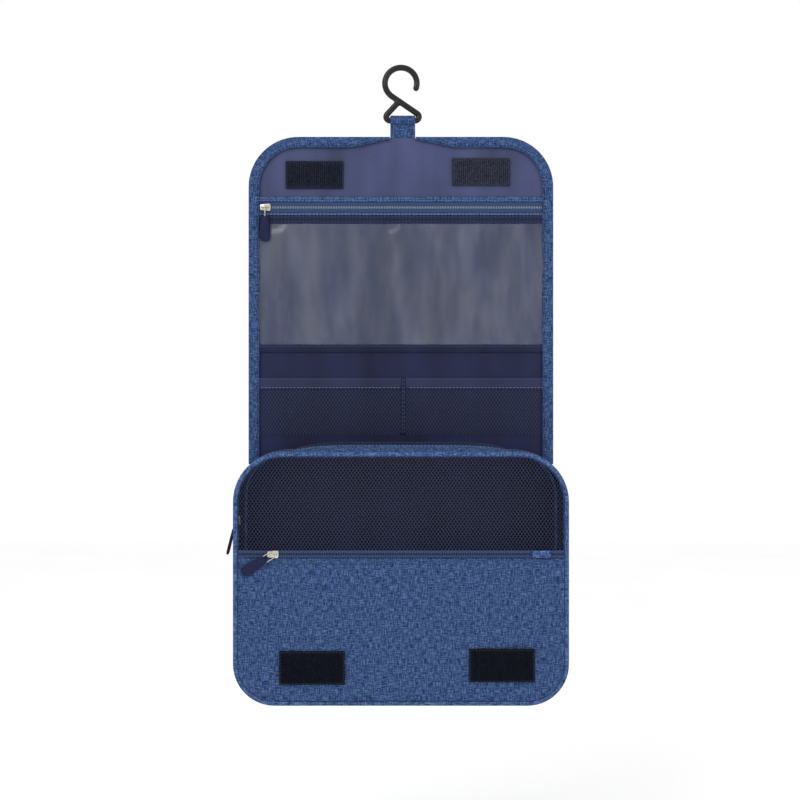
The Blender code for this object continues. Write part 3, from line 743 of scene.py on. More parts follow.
def pile_tape(name, dark, pale):
    made, tree, shader = finish(name, 0.9, Specular_IOR_Level=0.12)
    place = add(tree, "ShaderNodeTexCoord").outputs["Object"]
    split = add(tree, "ShaderNodeSeparateXYZ", inputs={"Vector": place})
    ribs = maths(tree, "SINE", maths(tree, "MULTIPLY", split.outputs["X"], 2 * math.pi / RIB_PITCH_CLOTH))
    mixed = maths(tree, "ADD", maths(tree, "MULTIPLY", ribs, 0.12), speckle(tree, 1500, source=place))
    tree.links.new(ramp(tree, mixed, ((0.35, dark), (0.72, pale))), shader.inputs["Base Color"])
    relief(tree, shader, mixed, 0.0002, 0.8)
    return made


def pile_tree():
    """Geometry nodes: short bristles scattered over the faces that look forward, each leaning its own way."""
    tree = bpy.data.node_groups.new("pile_on_tape", "GeometryNodeTree")
    face = tree.interface
    face.new_socket("Tape", in_out="INPUT", socket_type="NodeSocketGeometry")
    face.new_socket("Bristle", in_out="INPUT", socket_type="NodeSocketObject")
    face.new_socket("Density", in_out="INPUT", socket_type="NodeSocketFloat")
    face.new_socket("Shortest", in_out="INPUT", socket_type="NodeSocketFloat")
    face.new_socket("Lean", in_out="INPUT", socket_type="NodeSocketFloat")
    face.new_socket("Seed", in_out="INPUT", socket_type="NodeSocketInt")
    face.new_socket("Finish", in_out="INPUT", socket_type="NodeSocketMaterial")
    face.new_socket("Pile", in_out="OUTPUT", socket_type="NodeSocketGeometry")
    given = tree.nodes.new("NodeGroupInput")
    normal = tree.nodes.new("GeometryNodeInputNormal")
    split = add(tree, "ShaderNodeSeparateXYZ", inputs={"Vector": normal.outputs[0]})
    forward = add(tree, "FunctionNodeCompare", {"operation": "LESS_THAN"}, {0: split.outputs["Y"], 1: -0.8})
    spread = add(tree, "GeometryNodeDistributePointsOnFaces", inputs={"Mesh": given.outputs["Tape"],
                 "Selection": forward.outputs[0], "Density": given.outputs["Density"],
                 "Seed": given.outputs["Seed"]})
    info = add(tree, "GeometryNodeObjectInfo", inputs={"Object": given.outputs["Bristle"]})
    low = maths(tree, "MULTIPLY", given.outputs["Lean"], -1.0)
    tilt = add(tree, "FunctionNodeRandomValue", {"data_type": "FLOAT_VECTOR"})
    for socket, source in (("Min", low), ("Max", given.outputs["Lean"])):
        joined_up = add(tree, "ShaderNodeCombineXYZ", inputs={"X": source, "Y": source, "Z": source})
        tree.links.new(joined_up.outputs[0], tilt.inputs[socket])
    tree.links.new(given.outputs["Seed"], tilt.inputs["Seed"])
    turned = add(tree, "FunctionNodeRotateRotation", {"rotation_space": "LOCAL"},
                 {"Rotation": spread.outputs["Rotation"]})
    to_turn = add(tree, "FunctionNodeEulerToRotation", inputs={"Euler": tilt.outputs[0]})
    tree.links.new(to_turn.outputs[0], turned.inputs["Rotate By"])
    size = add(tree, "FunctionNodeRandomValue", {"data_type": "FLOAT"})
    floats = [s for s in size.inputs if s.type == "VALUE"]
    tree.links.new(given.outputs["Shortest"], floats[0])
    floats[1].default_value = 1.0
    placed = add(tree, "GeometryNodeInstanceOnPoints", inputs={"Points": spread.outputs["Points"],
                 "Instance": info.outputs["Geometry"], "Rotation": turned.outputs[0]})
    tree.links.new(size.outputs[1], placed.inputs["Scale"])
    real = add(tree, "GeometryNodeRealizeInstances", inputs={"Geometry": placed.outputs[0]})
    painted = add(tree, "GeometryNodeSetMaterial",
                  inputs={"Geometry": real.outputs[0], "Material": given.outputs["Finish"]})
    out = tree.nodes.new("NodeGroupOutput")
    tree.links.new(painted.outputs[0], out.inputs["Pile"])
    return tree


def bristle(name, length, material):
    """One stiff filament, standing on the origin along Z and bent over at its tip."""
    bm = bmesh.new()
    rings = []
    for k, (out, up, width) in enumerate(((0, 0, 1.0), (0, 0.6, 0.9), (0.25, 0.95, 0.7), (0.6, 0.85, 0.3))):
        angles = (math.radians(120 * n) for n in range(3))
        rings.append([bm.verts.new((out * length + BRISTLE_R * width * math.cos(a),
                                    BRISTLE_R * width * math.sin(a), up * length)) for a in angles])
    for a, b in zip(rings, rings[1:]):
        for n in range(3):
            bm.faces.new((a[n], a[(n + 1) % 3], b[(n + 1) % 3], b[n]))
    bm.faces.new(rings[-1])
    bm.faces.new(list(reversed(rings[0])))
    return bpy.data.objects.new(name, mesh_from(name, bm, material))


def slab_between(name, low, high, material, cut=0.0003, segments=2):
    """A thin block between two corners with softened edges and a cloth map on its face."""
    bm = bmesh.new()
    bmesh.ops.create_cube(bm, size=1)
    bmesh.ops.scale(bm, verts=bm.verts, vec=high - low)
    bmesh.ops.translate(bm, verts=bm.verts, vec=(low + high) / 2)
    bmesh.ops.bevel(bm, geom=bm.edges, offset=cut, segments=segments, affect="EDGES", profile=0.5)
    cloth = bm.loops.layers.uv.new("cloth")
    for face in bm.faces:
        for loop in face.loops:
            loop[cloth].uv = (loop.vert.co.x, loop.vert.co.z)
    made = piece_from(name, bm, material)
    made.data.shade_smooth()
    made.data.set_sharp_from_angle(angle=math.radians(50))
    return made


pile = pile_tree()
loops_dark = pile_tape("pile_tape_dark", (0.004, 0.005, 0.010), (0.022, 0.027, 0.050))
loops_fuzzy = pile_tape("pile_tape_fuzzy", (0.010, 0.012, 0.022), (0.050, 0.056, 0.085))
short_filament = bristle("short_filament", 0.00085, loops_dark)


def pile_patch(node, body, material, lean, seed):
    """A stitched-on pile patch: the woven tape, its bristles and the stitches round its edge."""
    low, high = upright(node)
    tape_front = low.y + PILE_HEIGHT
    tape = slab_between(node + "_tape", Vector((low.x, tape_front, low.z)), high, material, 0.0004)
    corner = Vector((low.x + PILE_BORDER, tape_front - 0.0001, low.z + PILE_BORDER))
    across = Vector((high.x - PILE_BORDER, tape_front + 0.0003, high.z - PILE_BORDER))
    field = slab_between(node + "_field", corner, across, material, 0.0001)
    fuzz = grow(node + "_bristles", field, pile, Bristle=short_filament, Density=BRISTLES_PER_M2,
                Shortest=0.55, Lean=lean, Seed=seed, Finish=material)
    rim = [(low.x + PATCH_SEAM, low.z + PATCH_SEAM), (high.x - PATCH_SEAM, low.z + PATCH_SEAM),
           (high.x - PATCH_SEAM, high.z - PATCH_SEAM), (low.x + PATCH_SEAM, high.z - PATCH_SEAM)]
    rim = [(x, tape_front - 0.0001, z) for x, z in rim + rim[:1]]
    seam = stitches(node + "_stitches", [rim], patch_thread, 0.0024)
    fit(tape, body, (node,))
    for piece in (fuzz, seam):
        fit(piece, body)


patch_thread = thread("patch_thread", (0.020, 0.024, 0.045))
pile_patch("flap_patch_left", "upper_panel", loops_dark, 0.25, 11)
pile_patch("flap_patch_right", "upper_panel", loops_fuzzy, 0.9, 12)

# ---- the window's zip -------------------------------------------------------------------------------------
# A light coil zip across the flap between two canvas strips. The strips are folded and topstitched along both
# edges; the coil is pale nylon on dark woven tape.

ZIP_PITCH = 0.00125
FOLD_ROUND = 0.0003
STRIP_ROW = 0.003


def folded_strip(name, low, high, material, waves=0.00012, seed=7.0):
    """A strip of cloth folded in along its edges: thin, soft at the rim and faintly uneven on its face."""
    rows = [high.z, high.z - FOLD_ROUND]
    count = max(round((high.z - low.z) / STRIP_ROW), 2)
    rows += [high.z - FOLD_ROUND - (high.z - low.z - 2 * FOLD_ROUND) * k / count for k in range(1, count)]
    rows += [low.z + FOLD_ROUND, low.z]

    def depth(x, z):
        rim = 0.0002 if min(high.z - z, z - low.z) < 0.0001 else 0.0
        return low.y + rim + waves * (1 + ripple(x, z, 0.012, seed))

    sides = (lambda z: low.x), (lambda z: high.x)
    return thicken(grid(name, rows, *sides, depth, material), high.y - low.y - 2 * waves - 0.0001)


def tape_cloth(name, dark, light):
    made, tree, shader = finish(name, 0.85, Specular_IOR_Level=0.2)
    cloth = add(tree, "ShaderNodeUVMap", {"uv_map": "cloth"}).outputs["UV"]
    split = add(tree, "ShaderNodeSeparateXYZ", inputs={"Vector": cloth})
    ribs = [maths(tree, "SINE", maths(tree, "MULTIPLY", split.outputs[n], 2 * math.pi / p))
            for n, p in ((0, 0.0009), (1, 0.0006))]
    twill = maths(tree, "MULTIPLY", *ribs)
    grey = maths(tree, "ADD", maths(tree, "MULTIPLY", twill, 0.2), speckle(tree, 1800, source=cloth))
    tree.links.new(ramp(tree, grey, ((0.3, dark), (0.7, light))),
                   shader.inputs["Base Color"])
    relief(tree, shader, twill, 0.00012, 0.8)
    return made


def nylon(name, colour):
    made, tree, shader = finish(name, 0.35, Specular_IOR_Level=0.55)
    dim = tuple(c * 0.75 for c in colour)
    tree.links.new(ramp(tree, speckle(tree, 1200), ((0.3, dim), (0.7, colour))), shader.inputs["Base Color"])
    relief(tree, shader, speckle(tree, 4000), 0.00003, 0.3)
    return made


def strip_seams(low, high, inset=0.0011):
    return [level_line(low.x + 0.008, high.x - 0.008, low.y + 0.00005, z)
            for z in (low.z + inset, high.z - inset)]


woven_tape = tape_cloth("zip_tape_cloth", (0.006, 0.010, 0.026), (0.018, 0.026, 0.064))
blue_tape = tape_cloth("blue_zip_tape_cloth", (0.018, 0.036, 0.098), (0.044, 0.080, 0.190))
pale_coil = nylon("pale_coil", (0.30, 0.33, 0.42))
dark_coil = nylon("dark_coil", (0.030, 0.040, 0.090))
window_tooth = bead("window_tooth", (0.0022, 0.00085, 0.0007), pale_coil)


def coil(name, lines, tooth, material, pitch=ZIP_PITCH, turn=(0.0, 0.0, math.pi / 2)):
    source = line_object(name + "_line", lines)
    return grow(name, source, along_line, Piece=tooth, Spacing=pitch, Turn=turn, Finish=material)


for side in ("upper", "lower"):
    node = "window_zip_cover_" + side
    low, high = upright(node)
    cover = fit(folded_strip(node + "_cloth", low, high, canvas), "upper_panel", (node,))
    seam = stitches(node + "_stitches", strip_seams(low, high), pale_thread)
    fit(seam, "upper_panel")
    node = "window_zip_tape_" + side
    low, high = upright(node)
    low.y += 0.0003
    fit(folded_strip(node + "_cloth", low, high, blue_tape, 0.00004), "upper_panel", (node,))
zip_low, zip_high = upright("window_zip_tape_upper")[0], upright("window_zip_tape_lower")[1]
window_zip_z = (zip_low.z + zip_high.z) / 2
coil_y = (zip_low.y + zip_high.y) / 2 - 0.00005
lines = [level_line(zip_low.x + 0.002, zip_high.x - 0.002, coil_y, window_zip_z)]
window_coil = coil("window_zip_coil", lines, window_tooth, pale_coil, turn=(0.0, math.pi / 2, 0.0))
fit(window_coil, "upper_panel")

# ---- sliders and pulls ------------------------------------------------------------------------------------
# Each slider is one pale plated casting: two plates joined by a wedge that parts the coil, and a bail over
# the front. A wire link hangs in the bail, and a tab of soft navy rubber is moulded round the link's ends.

SLIDER_LENGTH = 0.0080
SLIDER_WIDTH = 0.0056
TAIL_WIDTH = 0.0043
TAPE_SLOT = 0.0012  # clear height between the two plates
FRONT_PLATE = 0.0008
BACK_PLATE = 0.0005
BAIL_WIRE = 0.0008
BAIL_CLEAR = 0.0015
BAIL_SPAN = 0.0052
BAIL_BEND = 0.0011
NOSE_ROUND = 0.0012
TAIL_ROUND = 0.0010
LINK_R = 0.00035
LINK_LEAD = 0.0056  # from the bail down to the tab
TAB_GAP = 0.0003
TAB_WIDTH = 0.0075
TAB_LENGTH = 0.0200
TAB_THICK = 0.0018
TAB_WAIST = 0.0011  # how far each side draws in at the link
TAB_SHOULDER = 0.0028  # where the waist ends, below the tab's top
TAB_FULL = 0.0075  # and where the tab is at its full width
TAB_CORNER = 0.0012
RIM_R = 0.00026
RIB_R = 0.0002
RIB_COUNT = 5
RIB_PITCH = 0.0022
RIB_FIRST = 0.0032  # above the tab's foot
RIB_RISE = 0.0012


def plated_zinc():
    made, tree, shader = finish("plated_zinc", 0.24, 1.0)
    worn = speckle(tree, 500, 4.0)
    tree.links.new(ramp(tree, worn, ((0.35, (0.46, 0.42, 0.35)), (0.7, (0.70, 0.66, 0.57)))),
                   shader.inputs["Base Color"])
    tree.links.new(ramp(tree, speckle(tree, 1500), ((0.3, 0.18), (0.75, 0.36))), shader.inputs["Roughness"])
    relief(tree, shader, speckle(tree, 2500), 0.00003, 0.35)
    return made


def soft_rubber():
    made, tree, shader = finish("soft_navy_rubber", 0.5, Specular_IOR_Level=0.18)
    navy = ramp(tree, speckle(tree, 700), ((0.3, (0.004, 0.006, 0.028)), (0.7, (0.009, 0.013, 0.056))))
    tree.links.new(navy, shader.inputs["Base Color"])
    tree.links.new(ramp(tree, speckle(tree, 300), ((0.3, 0.42), (0.7, 0.58))), shader.inputs["Roughness"])
    relief(tree, shader, speckle(tree, 5000), 0.00004, 0.5)
    return made


def pressed(name, outline, front, back, cut, material, segments=2):
    """A flat piece from its outline in X and Z, between two depths, with softened edges."""
    bm = bmesh.new()
    face = bm.faces.new([bm.verts.new((x, back, z)) for x, z in outline])
    lifted = bmesh.ops.extrude_face_region(bm, geom=[face])
    verts = [v for v in lifted["geom"] if isinstance(v, bmesh.types.BMVert)]
    bmesh.ops.translate(bm, verts=verts, vec=(0, front - back, 0))
    rim = [e for e in bm.edges if len(e.link_faces) == 2 and e.calc_face_angle(0) > 1.0]
    if cut:
        bmesh.ops.bevel(bm, geom=rim, offset=cut, segments=segments, affect="EDGES", profile=0.5)
    made = piece_from(name, bm, material)
    return smooth(made, 35)


def zip_slider(name, matrix):
    """A slider with its nose towards +X and its front towards -Y, centred on the tape."""
    long, wide, tail = SLIDER_LENGTH / 2, SLIDER_WIDTH / 2, TAIL_WIDTH / 2
    shape = arc(long - NOSE_ROUND, wide - NOSE_ROUND, NOSE_ROUND, 0, 90, 4)
    shape += arc(-long + TAIL_ROUND, tail - TAIL_ROUND, TAIL_ROUND, 90, 180, 4)
    shape += [(x, -z) for x, z in reversed(shape)]
    slot = TAPE_SLOT / 2
    pieces = [pressed(name, shape, -slot - FRONT_PLATE, -slot, 0.0002, plating),
              pressed(name + "_back", shape, slot, slot + BACK_PLATE, 0.00015, plating)]
    wedge = [(-0.0004, 0), (0.0012, -0.0007), (long - 0.0008, -0.0009), (long - 0.0008, 0.0009),
             (0.0012, 0.0007)]
    pieces.append(pressed(name + "_wedge", wedge, -slot - 0.0001, slot + 0.0001, 0, plating))
    for sign in (-1, 1):
        rail = [(-long + 0.0006, 0), (long - 0.0004, 0.0004), (long - 0.0004, 0.00085),
                (-long + 0.0006, 0.00045)]
        rail = [(x, sign * (tail - 0.0005 + z)) for x, z in rail]
        rail = rail if sign > 0 else rail[::-1]
        pieces.append(pressed(name + "_rail", rail, -slot - 0.0001, -slot + 0.00045, 0.00005, plating, 1))
    bar = -(slot + FRONT_PLATE + BAIL_CLEAR + BAIL_WIRE / 2)
    path = [(-BAIL_SPAN / 2, -slot - FRONT_PLATE / 2), (-BAIL_SPAN / 2, bar + BAIL_BEND)]
    path += [(-BAIL_SPAN / 2 + BAIL_BEND * (1 - math.cos(a)), bar + BAIL_BEND * (1 - math.sin(a)))
             for a in (math.radians(30 * k) for k in range(1, 4))]
    path += [(-x, y) for x, y in reversed(path)]
    pieces.append(rod(name + "_bail", [(x, y, 0) for x, y in path], BAIL_WIRE / 2, plating, sides=12,
                      round_ends=False))
    made = joined(name, pieces)
    made.data.transform(matrix)
    return made


def rubber_tab(name, top):
    """The moulded tab: a waist at the link, a round foot, a raised rim and plain ribs on each face."""
    half, waist, end = TAB_WIDTH / 2, TAB_WIDTH / 2 - TAB_WAIST, top - TAB_LENGTH
    foot = half - 0.0004
    shape = arc(-(half - foot), end + foot, foot, 180, 270, 9)
    shape += arc(half - foot, end + foot, foot, 270, 360, 9)
    side = [(half - 0.0002, top - TAB_FULL), (waist, top - TAB_SHOULDER)]
    side += arc(waist - TAB_CORNER, top - TAB_CORNER, TAB_CORNER, 0, 90, 4)
    shape += side + [(-x, z) for x, z in reversed(side)]
    thick = TAB_THICK / 2
    pieces = [pressed(name, shape, -thick + 0.00025, thick - 0.00025, 0.0003, rubber, 3)]
    middle = end + TAB_LENGTH * 0.45
    rim = [Vector((x * 0.86, 0, middle + (z - middle) * 0.93)) for x, z in shape]
    for sign in (-1, 1):
        line = [p + Vector((0, sign * (thick - 0.00028), 0)) for p in rim]
        pieces.append(rod(name + "_rim", line, RIM_R, rubber, closed=True, sides=8))
        for k in range(RIB_COUNT):
            z = end + RIB_FIRST + RIB_PITCH * k
            wide = half * 0.62
            chevron = [(-wide, 0, z + RIB_RISE), (0, 0, z), (wide, 0, z + RIB_RISE)]
            line = [Vector(p) + Vector((0, sign * (thick - 0.0003), 0)) for p in chevron]
            pieces.append(rod(name + "_rib", line, RIB_R, rubber, sides=8))
    return joined(name, pieces)


def hang_pull(name, matrix, body, across, nodes):
    """A link and its tab, hanging down from a pivot at the origin, put in place by a matrix."""
    if across:
        wide, foot = 0.00125, 0.0006
        half = [(-foot, -LINK_LEAD - 0.0012), (-foot, -LINK_LEAD), (-wide, -LINK_LEAD + 0.0022)]
        path = half + arc(0, 0, wide, 180, 0, 12) + [(-y, z) for y, z in reversed(half)]
        path = [(0, y, z) for y, z in path]
    else:
        wide, bend = 0.0025, 0.0009
        half = [(-wide, -LINK_LEAD - 0.0012), (-wide, -bend)]
        half += [(-wide + bend - bend * math.cos(a), -bend + bend * math.sin(a))
                 for a in (math.radians(30 * k) for k in range(1, 4))]
        path = [(x, 0, z) for x, z in half + [(-x, z) for x, z in reversed(half)]]
    link = rod(name + "_wire", path, LINK_R, plating, sides=10)
    tab = rubber_tab(name + "_rubber", -LINK_LEAD - TAB_GAP)
    for piece, slot, node in ((link, "metal", nodes[0]), (tab, "rubber", nodes[1])):
        piece.data.transform(matrix)
        fit(piece, body, (node,))


def hanging_from(joint, tab, sideways=False):
    """The matrix of a pull that hangs from a joint's pivot towards where its tab lies."""
    low, high = upright(tab)
    drop = (low + high) / 2 - pivot(joint)
    drop.y = 0
    up = -drop.normalized()
    if sideways:
        right = Vector((0, -1, 0))
        behind = up.cross(right)
    else:
        behind = Vector((0, 1, 0))
        right = behind.cross(up)
    turned = Matrix((right, behind, up)).transposed().to_4x4()
    return Matrix.Translation(pivot(joint)) @ turned


plating = plated_zinc()
rubber = soft_rubber()
low, high = upright("window_zip_slider")
to_slot = BACK_PLATE + TAPE_SLOT / 2
window_slider_at = Matrix.Translation(((low.x + high.x) / 2, high.y - to_slot, (low.z + high.z) / 2))
fit(zip_slider("window_slider_casting", window_slider_at), "window_slider", ("window_zip_slider",))
hang_pull("window_pull", hanging_from("window_pull_swing", "window_pull_tab"), "window_pull", True,
          ("window_pull_link", "window_pull_tab"))

# ---- the clear window and its trims -----------------------------------------------------------------------
# A sheet of soft clear vinyl, sewn between a doubled dark trim under the zip and another above the fold. It
# was packed folded, so it lies in shallow creases. The cloth simulation settles it with its rim sewn down.

FILM_GROWTH = 0.022
FILM_RISE = 0.0019
FILM_SINK = 0.0005


def slacken(piece, growth, rise, sink, seed, frames=22, start=0.0006, size=0.03):
    """Settle a sheet by cloth simulation: its rim stays sewn and it is cut a little too big for its place."""
    rest = [v.co.copy() for v in piece.data.vertices]
    bm = bmesh.new()
    bm.from_mesh(piece.data)
    rim = [v.index for v in bm.verts if v.is_boundary]
    bm.free()
    sewn = piece.vertex_groups.new(name="sewn")
    sewn.add(rim, 1.0, "REPLACE")
    held = set(rim)
    for vert, co in zip(piece.data.vertices, rest):
        if vert.index not in held:
            vert.co.y = co.y + start * ripple(co.x, co.z, size, seed)
    cloth = piece.modifiers.new("settle", "CLOTH")
    cloth.settings.vertex_group_mass = "sewn"
    cloth.settings.shrink_min = -growth
    cloth.settings.quality = 5
    cloth.settings.mass = 0.1
    cloth.settings.bending_stiffness = 0.2
    cloth.settings.tension_stiffness = 12
    cloth.settings.compression_stiffness = 12
    cloth.settings.effector_weights.gravity = 0.15
    cloth.collision_settings.use_collision = False
    for step in range(1, frames + 1):
        bpy.context.scene.frame_set(step)
    piece = set_down(piece)
    bpy.context.scene.frame_set(1)
    for vert, co in zip(piece.data.vertices, rest):
        moved = vert.co.y - co.y
        vert.co.y = co.y + (-rise * math.tanh(-moved / rise) if moved < 0 else sink * math.tanh(moved / sink))
        vert.co.x = co.x + max(-0.002, min(0.002, vert.co.x - co.x))
        vert.co.z = co.z + max(-0.002, min(0.002, vert.co.z - co.z))
    piece.vertex_groups.clear()
    return piece


def clear_vinyl():
    """Clear soft vinyl, its colour painted darker and lighter in long upright streaks as painted shade and
    highlight on its creases; its roughness and bump follow the same streaks.
    """
    made, tree, shader = finish("clear_vinyl", 0.07, Transmission_Weight=0.97, IOR=1.31)
    cloth = add(tree, "ShaderNodeUVMap", {"uv_map": "cloth"}).outputs["UV"]
    long = add(tree, "ShaderNodeMapping",
               inputs={"Vector": cloth, "Scale": (46.0, 13.0, 1.0), "Rotation": (0, 0, 0.2)})
    streaks = speckle(tree, 1.0, 3.0, long.outputs["Vector"])
    # painted shade and highlight: the streaks darken and lighten the film's colour
    tree.links.new(ramp(tree, streaks, ((0.36, (0.60, 0.66, 0.78)), (0.64, (0.97, 0.98, 0.99)))),
                   shader.inputs["Base Color"])
    tree.links.new(ramp(tree, streaks, ((0.35, 0.03), (0.7, 0.16))), shader.inputs["Roughness"])
    relief(tree, shader, streaks, 0.004, 0.25)
    return made


vinyl = clear_vinyl()
low, high = upright("window_film")
film_rows = [high.z - (high.z - low.z) * k / 26 for k in range(27)]
sides = (lambda z: -PANEL_HALF + LAYER_INSET), (lambda z: PANEL_HALF - LAYER_INSET)
film = grid("clear_window", film_rows, *sides, lambda x, z: low.y, vinyl)
film = slacken(film, FILM_GROWTH, FILM_RISE, FILM_SINK, 21.0)
finer = film.modifiers.new("finer", "SUBSURF")
finer.levels = finer.render_levels = 1
film = thicken(film, 0.00022)
film.data.set_sharp_from_angle(angle=math.radians(80))
fit(film, "upper_panel", ("window_film",))
trim_cloth = satin("trim_cloth", (0.006, 0.008, 0.024), (0.013, 0.017, 0.050), 0.5, 0.14)
for node, seams in (("window_top_trim", 2), ("window_bottom_trim", 1)):
    low, high = upright(node)
    trim = fit(folded_strip(node + "_cloth", low, high, trim_cloth), "upper_panel", (node,))
    runs = strip_seams(low, high)
    seam = stitches(node + "_stitches", runs[:seams] if seams > 1 else runs[1:], blue_thread)
    fit(seam, "upper_panel")

# ---- the net pockets --------------------------------------------------------------------------------------
# Two pockets of knitted net between the folds, each with a doubled hem along its mouth and a tape sewn down
# between them. The net is fine navy thread knitted into a lattice of small six-sided holes.

POCKET_SAG = 0.0011
NET_ACROSS = 0.0025
NET_UP = 0.00183
NET_R = 0.00016


def net_tree():
    """Geometry nodes: knots on staggered rows over a sheet, left out beyond its rounded top corners."""
    tree = bpy.data.node_groups.new("knitted_net", "GeometryNodeTree")
    face = tree.interface
    for name in ("Width", "Height", "Across", "Up", "Corner"):
        face.new_socket(name, in_out="INPUT", socket_type="NodeSocketFloat")
    face.new_socket("Knot", in_out="INPUT", socket_type="NodeSocketObject")
    face.new_socket("Finish", in_out="INPUT", socket_type="NodeSocketMaterial")
    face.new_socket("Net", in_out="OUTPUT", socket_type="NodeSocketGeometry")
    given = tree.nodes.new("NodeGroupInput").outputs
    columns = maths(tree, "FLOOR", maths(tree, "DIVIDE", given["Width"], given["Across"]))
    rows = maths(tree, "FLOOR", maths(tree, "DIVIDE", given["Height"], given["Up"]))
    sheet = add(tree, "GeometryNodeMeshGrid", inputs={
        "Size X": maths(tree, "MULTIPLY", columns, given["Across"]),
        "Size Y": maths(tree, "MULTIPLY", rows, given["Up"]),
        "Vertices X": maths(tree, "ADD", columns, 1.0), "Vertices Y": maths(tree, "ADD", rows, 1.0)})
    split = add(tree, "ShaderNodeSeparateXYZ",
                inputs={"Vector": tree.nodes.new("GeometryNodeInputPosition").outputs[0]})
    x, y = split.outputs["X"], split.outputs["Y"]
    row = maths(tree, "ROUND", maths(tree, "DIVIDE", maths(tree, "ADD", y, 10.0), given["Up"]))
    odd = maths(tree, "MODULO", row, 2.0)
    aside = maths(tree, "MULTIPLY", maths(tree, "MULTIPLY", maths(tree, "SUBTRACT", odd, 0.5), 0.5),
                  given["Across"])
    shift = add(tree, "ShaderNodeCombineXYZ", inputs={"X": aside})
    moved = add(tree, "GeometryNodeSetPosition",
                inputs={"Geometry": sheet.outputs["Mesh"], "Offset": shift.outputs[0]})
    half = maths(tree, "SUBTRACT", maths(tree, "MULTIPLY", given["Width"], 0.5), given["Corner"])
    top = maths(tree, "SUBTRACT", maths(tree, "MULTIPLY", given["Height"], 0.5), given["Corner"])
    over = maths(tree, "MAXIMUM", maths(tree, "SUBTRACT", maths(tree, "ABSOLUTE", x), half), 0.0)
    above = maths(tree, "MAXIMUM", maths(tree, "SUBTRACT", y, top), 0.0)
    reach = maths(tree, "SQRT", maths(tree, "ADD", maths(tree, "MULTIPLY", over, over),
                                      maths(tree, "MULTIPLY", above, above)))
    outside = maths(tree, "GREATER_THAN", reach, maths(tree, "ADD", given["Corner"], 0.00005))
    kept = add(tree, "GeometryNodeDeleteGeometry", {"domain": "POINT"},
               {"Geometry": moved.outputs[0], "Selection": outside})
    info = add(tree, "GeometryNodeObjectInfo", inputs={"Object": given["Knot"]})
    placed = add(tree, "GeometryNodeInstanceOnPoints",
                 inputs={"Points": kept.outputs[0], "Instance": info.outputs["Geometry"]})
    real = add(tree, "GeometryNodeRealizeInstances", inputs={"Geometry": placed.outputs[0]})
    painted = add(tree, "GeometryNodeSetMaterial",
                  inputs={"Geometry": real.outputs[0], "Material": given["Finish"]})
    out = tree.nodes.new("NodeGroupOutput")
    tree.links.new(painted.outputs[0], out.inputs["Net"])
    return tree


def net_knot(name, material):
    """One knot of the net, flat in X and Y: four legs that leave it together and spread to the next knots."""
    bm = bmesh.new()
    for sx in (-1, 1):
        for sy in (-1, 1):
            line = [Vector((0, 0)), Vector((sx * NET_ACROSS * 0.07, sy * NET_UP * 0.2)),
                    Vector((sx * NET_ACROSS / 4, sy * NET_UP / 2))]
            rings = []
            for k, at in enumerate(line):
                ahead = (line[min(k + 1, 2)] - line[max(k - 1, 0)]).normalized()
                aside = Vector((-ahead.y, ahead.x))
                angles = [math.radians(90 + 120 * n * sx * sy) for n in range(3)]
                ring = [Vector((*(at + aside * NET_R * math.cos(a)), NET_R * math.sin(a))) for a in angles]
                rings.append([bm.verts.new(p) for p in ring])
            for a, b in zip(rings, rings[1:]):
                for n in range(3):
                    bm.faces.new((a[n], a[(n + 1) % 3], b[(n + 1) % 3], b[n]))
    bmesh.ops.recalc_face_normals(bm, faces=bm.faces)
    mesh = mesh_from(name, bm, material)
    mesh.shade_smooth()
    return bpy.data.objects.new(name, mesh)


def net_sheet(name, low, high, depth_at, corner=0.0):
    """A net stretched over a space, brought to its depth and standing upright."""
    source = line_object(name + "_frame", [[(0, 0, 0), (0.001, 0, 0)]])
    made = grow(name, source, net, Width=high.x - low.x, Height=high.z - low.z, Across=NET_ACROSS, Up=NET_UP,
                Corner=corner, Knot=knot, Finish=net_thread)
    middle = (low + high) / 2
    for vert in made.data.vertices:
        x, up, out = vert.co
        at = middle.x + x, middle.z + up
        vert.co = (at[0], depth_at(*at) + out, at[1])
    made.data.update()
    bm = bmesh.new()
    bm.from_mesh(made.data)
    bmesh.ops.recalc_face_normals(bm, faces=bm.faces)
    bm.to_mesh(made.data)
    bm.free()
    return made


net = net_tree()
net_thread = thread("net_thread", (0.048, 0.058, 0.112))
knot = net_knot("one_knot", net_thread)
hem_cloth = satin("pocket_hem_cloth", (0.011, 0.014, 0.042), (0.022, 0.028, 0.080), 0.42, 0.2)
for side in ("left", "right"):
    low, high = upright("pocket_hem_" + side)
    hem = folded_strip("pocket_hem_cloth_" + side, low, high, hem_cloth, seed=9.0)
    fit(hem, "pocket_panel", ("pocket_hem_" + side,))
    edges = [level_line(low.x + 0.004, high.x - 0.002, low.y + 0.00005, low.z + 0.0010)]
    seam = fit(stitches(f"pocket_hem_{side}_stitches", edges, pale_thread), "pocket_panel")
    low, high = upright("pocket_net_" + side)
    middle_x, half_x = (low.x + high.x) / 2, (high.x - low.x) / 2
    net_y = (low.y + high.y) / 2

    def pocket_depth(x, z, low=low, high=high, middle_x=middle_x, half_x=half_x, net_y=net_y):
        across = 1 - ((x - middle_x) / half_x) ** 2
        up = 1 - ((z - high.z) / (low.z - high.z)) ** 2
        return net_y - POCKET_SAG * max(across, 0) * max(up, 0) - 0.0002 * ripple(x, z, 0.02, 13.0)

    pocket = net_sheet("pocket_net_threads_" + side, low, high, pocket_depth)
    fit(pocket, "pocket_panel", ("pocket_net_" + side,))
low, high = upright("pocket_divider")
divider = folded_strip("pocket_divider_tape", low, high, trim_cloth, seed=15.0)
divider_seams = [upright_line(x, low.y + 0.00005, high.z - 0.002, low.z + 0.002)
                 for x in (low.x + 0.0008, high.x - 0.0008)]
fit(divider, "pocket_panel", ("pocket_divider",))
fit(stitches("pocket_divider_stitches", divider_seams, blue_thread), "pocket_panel")

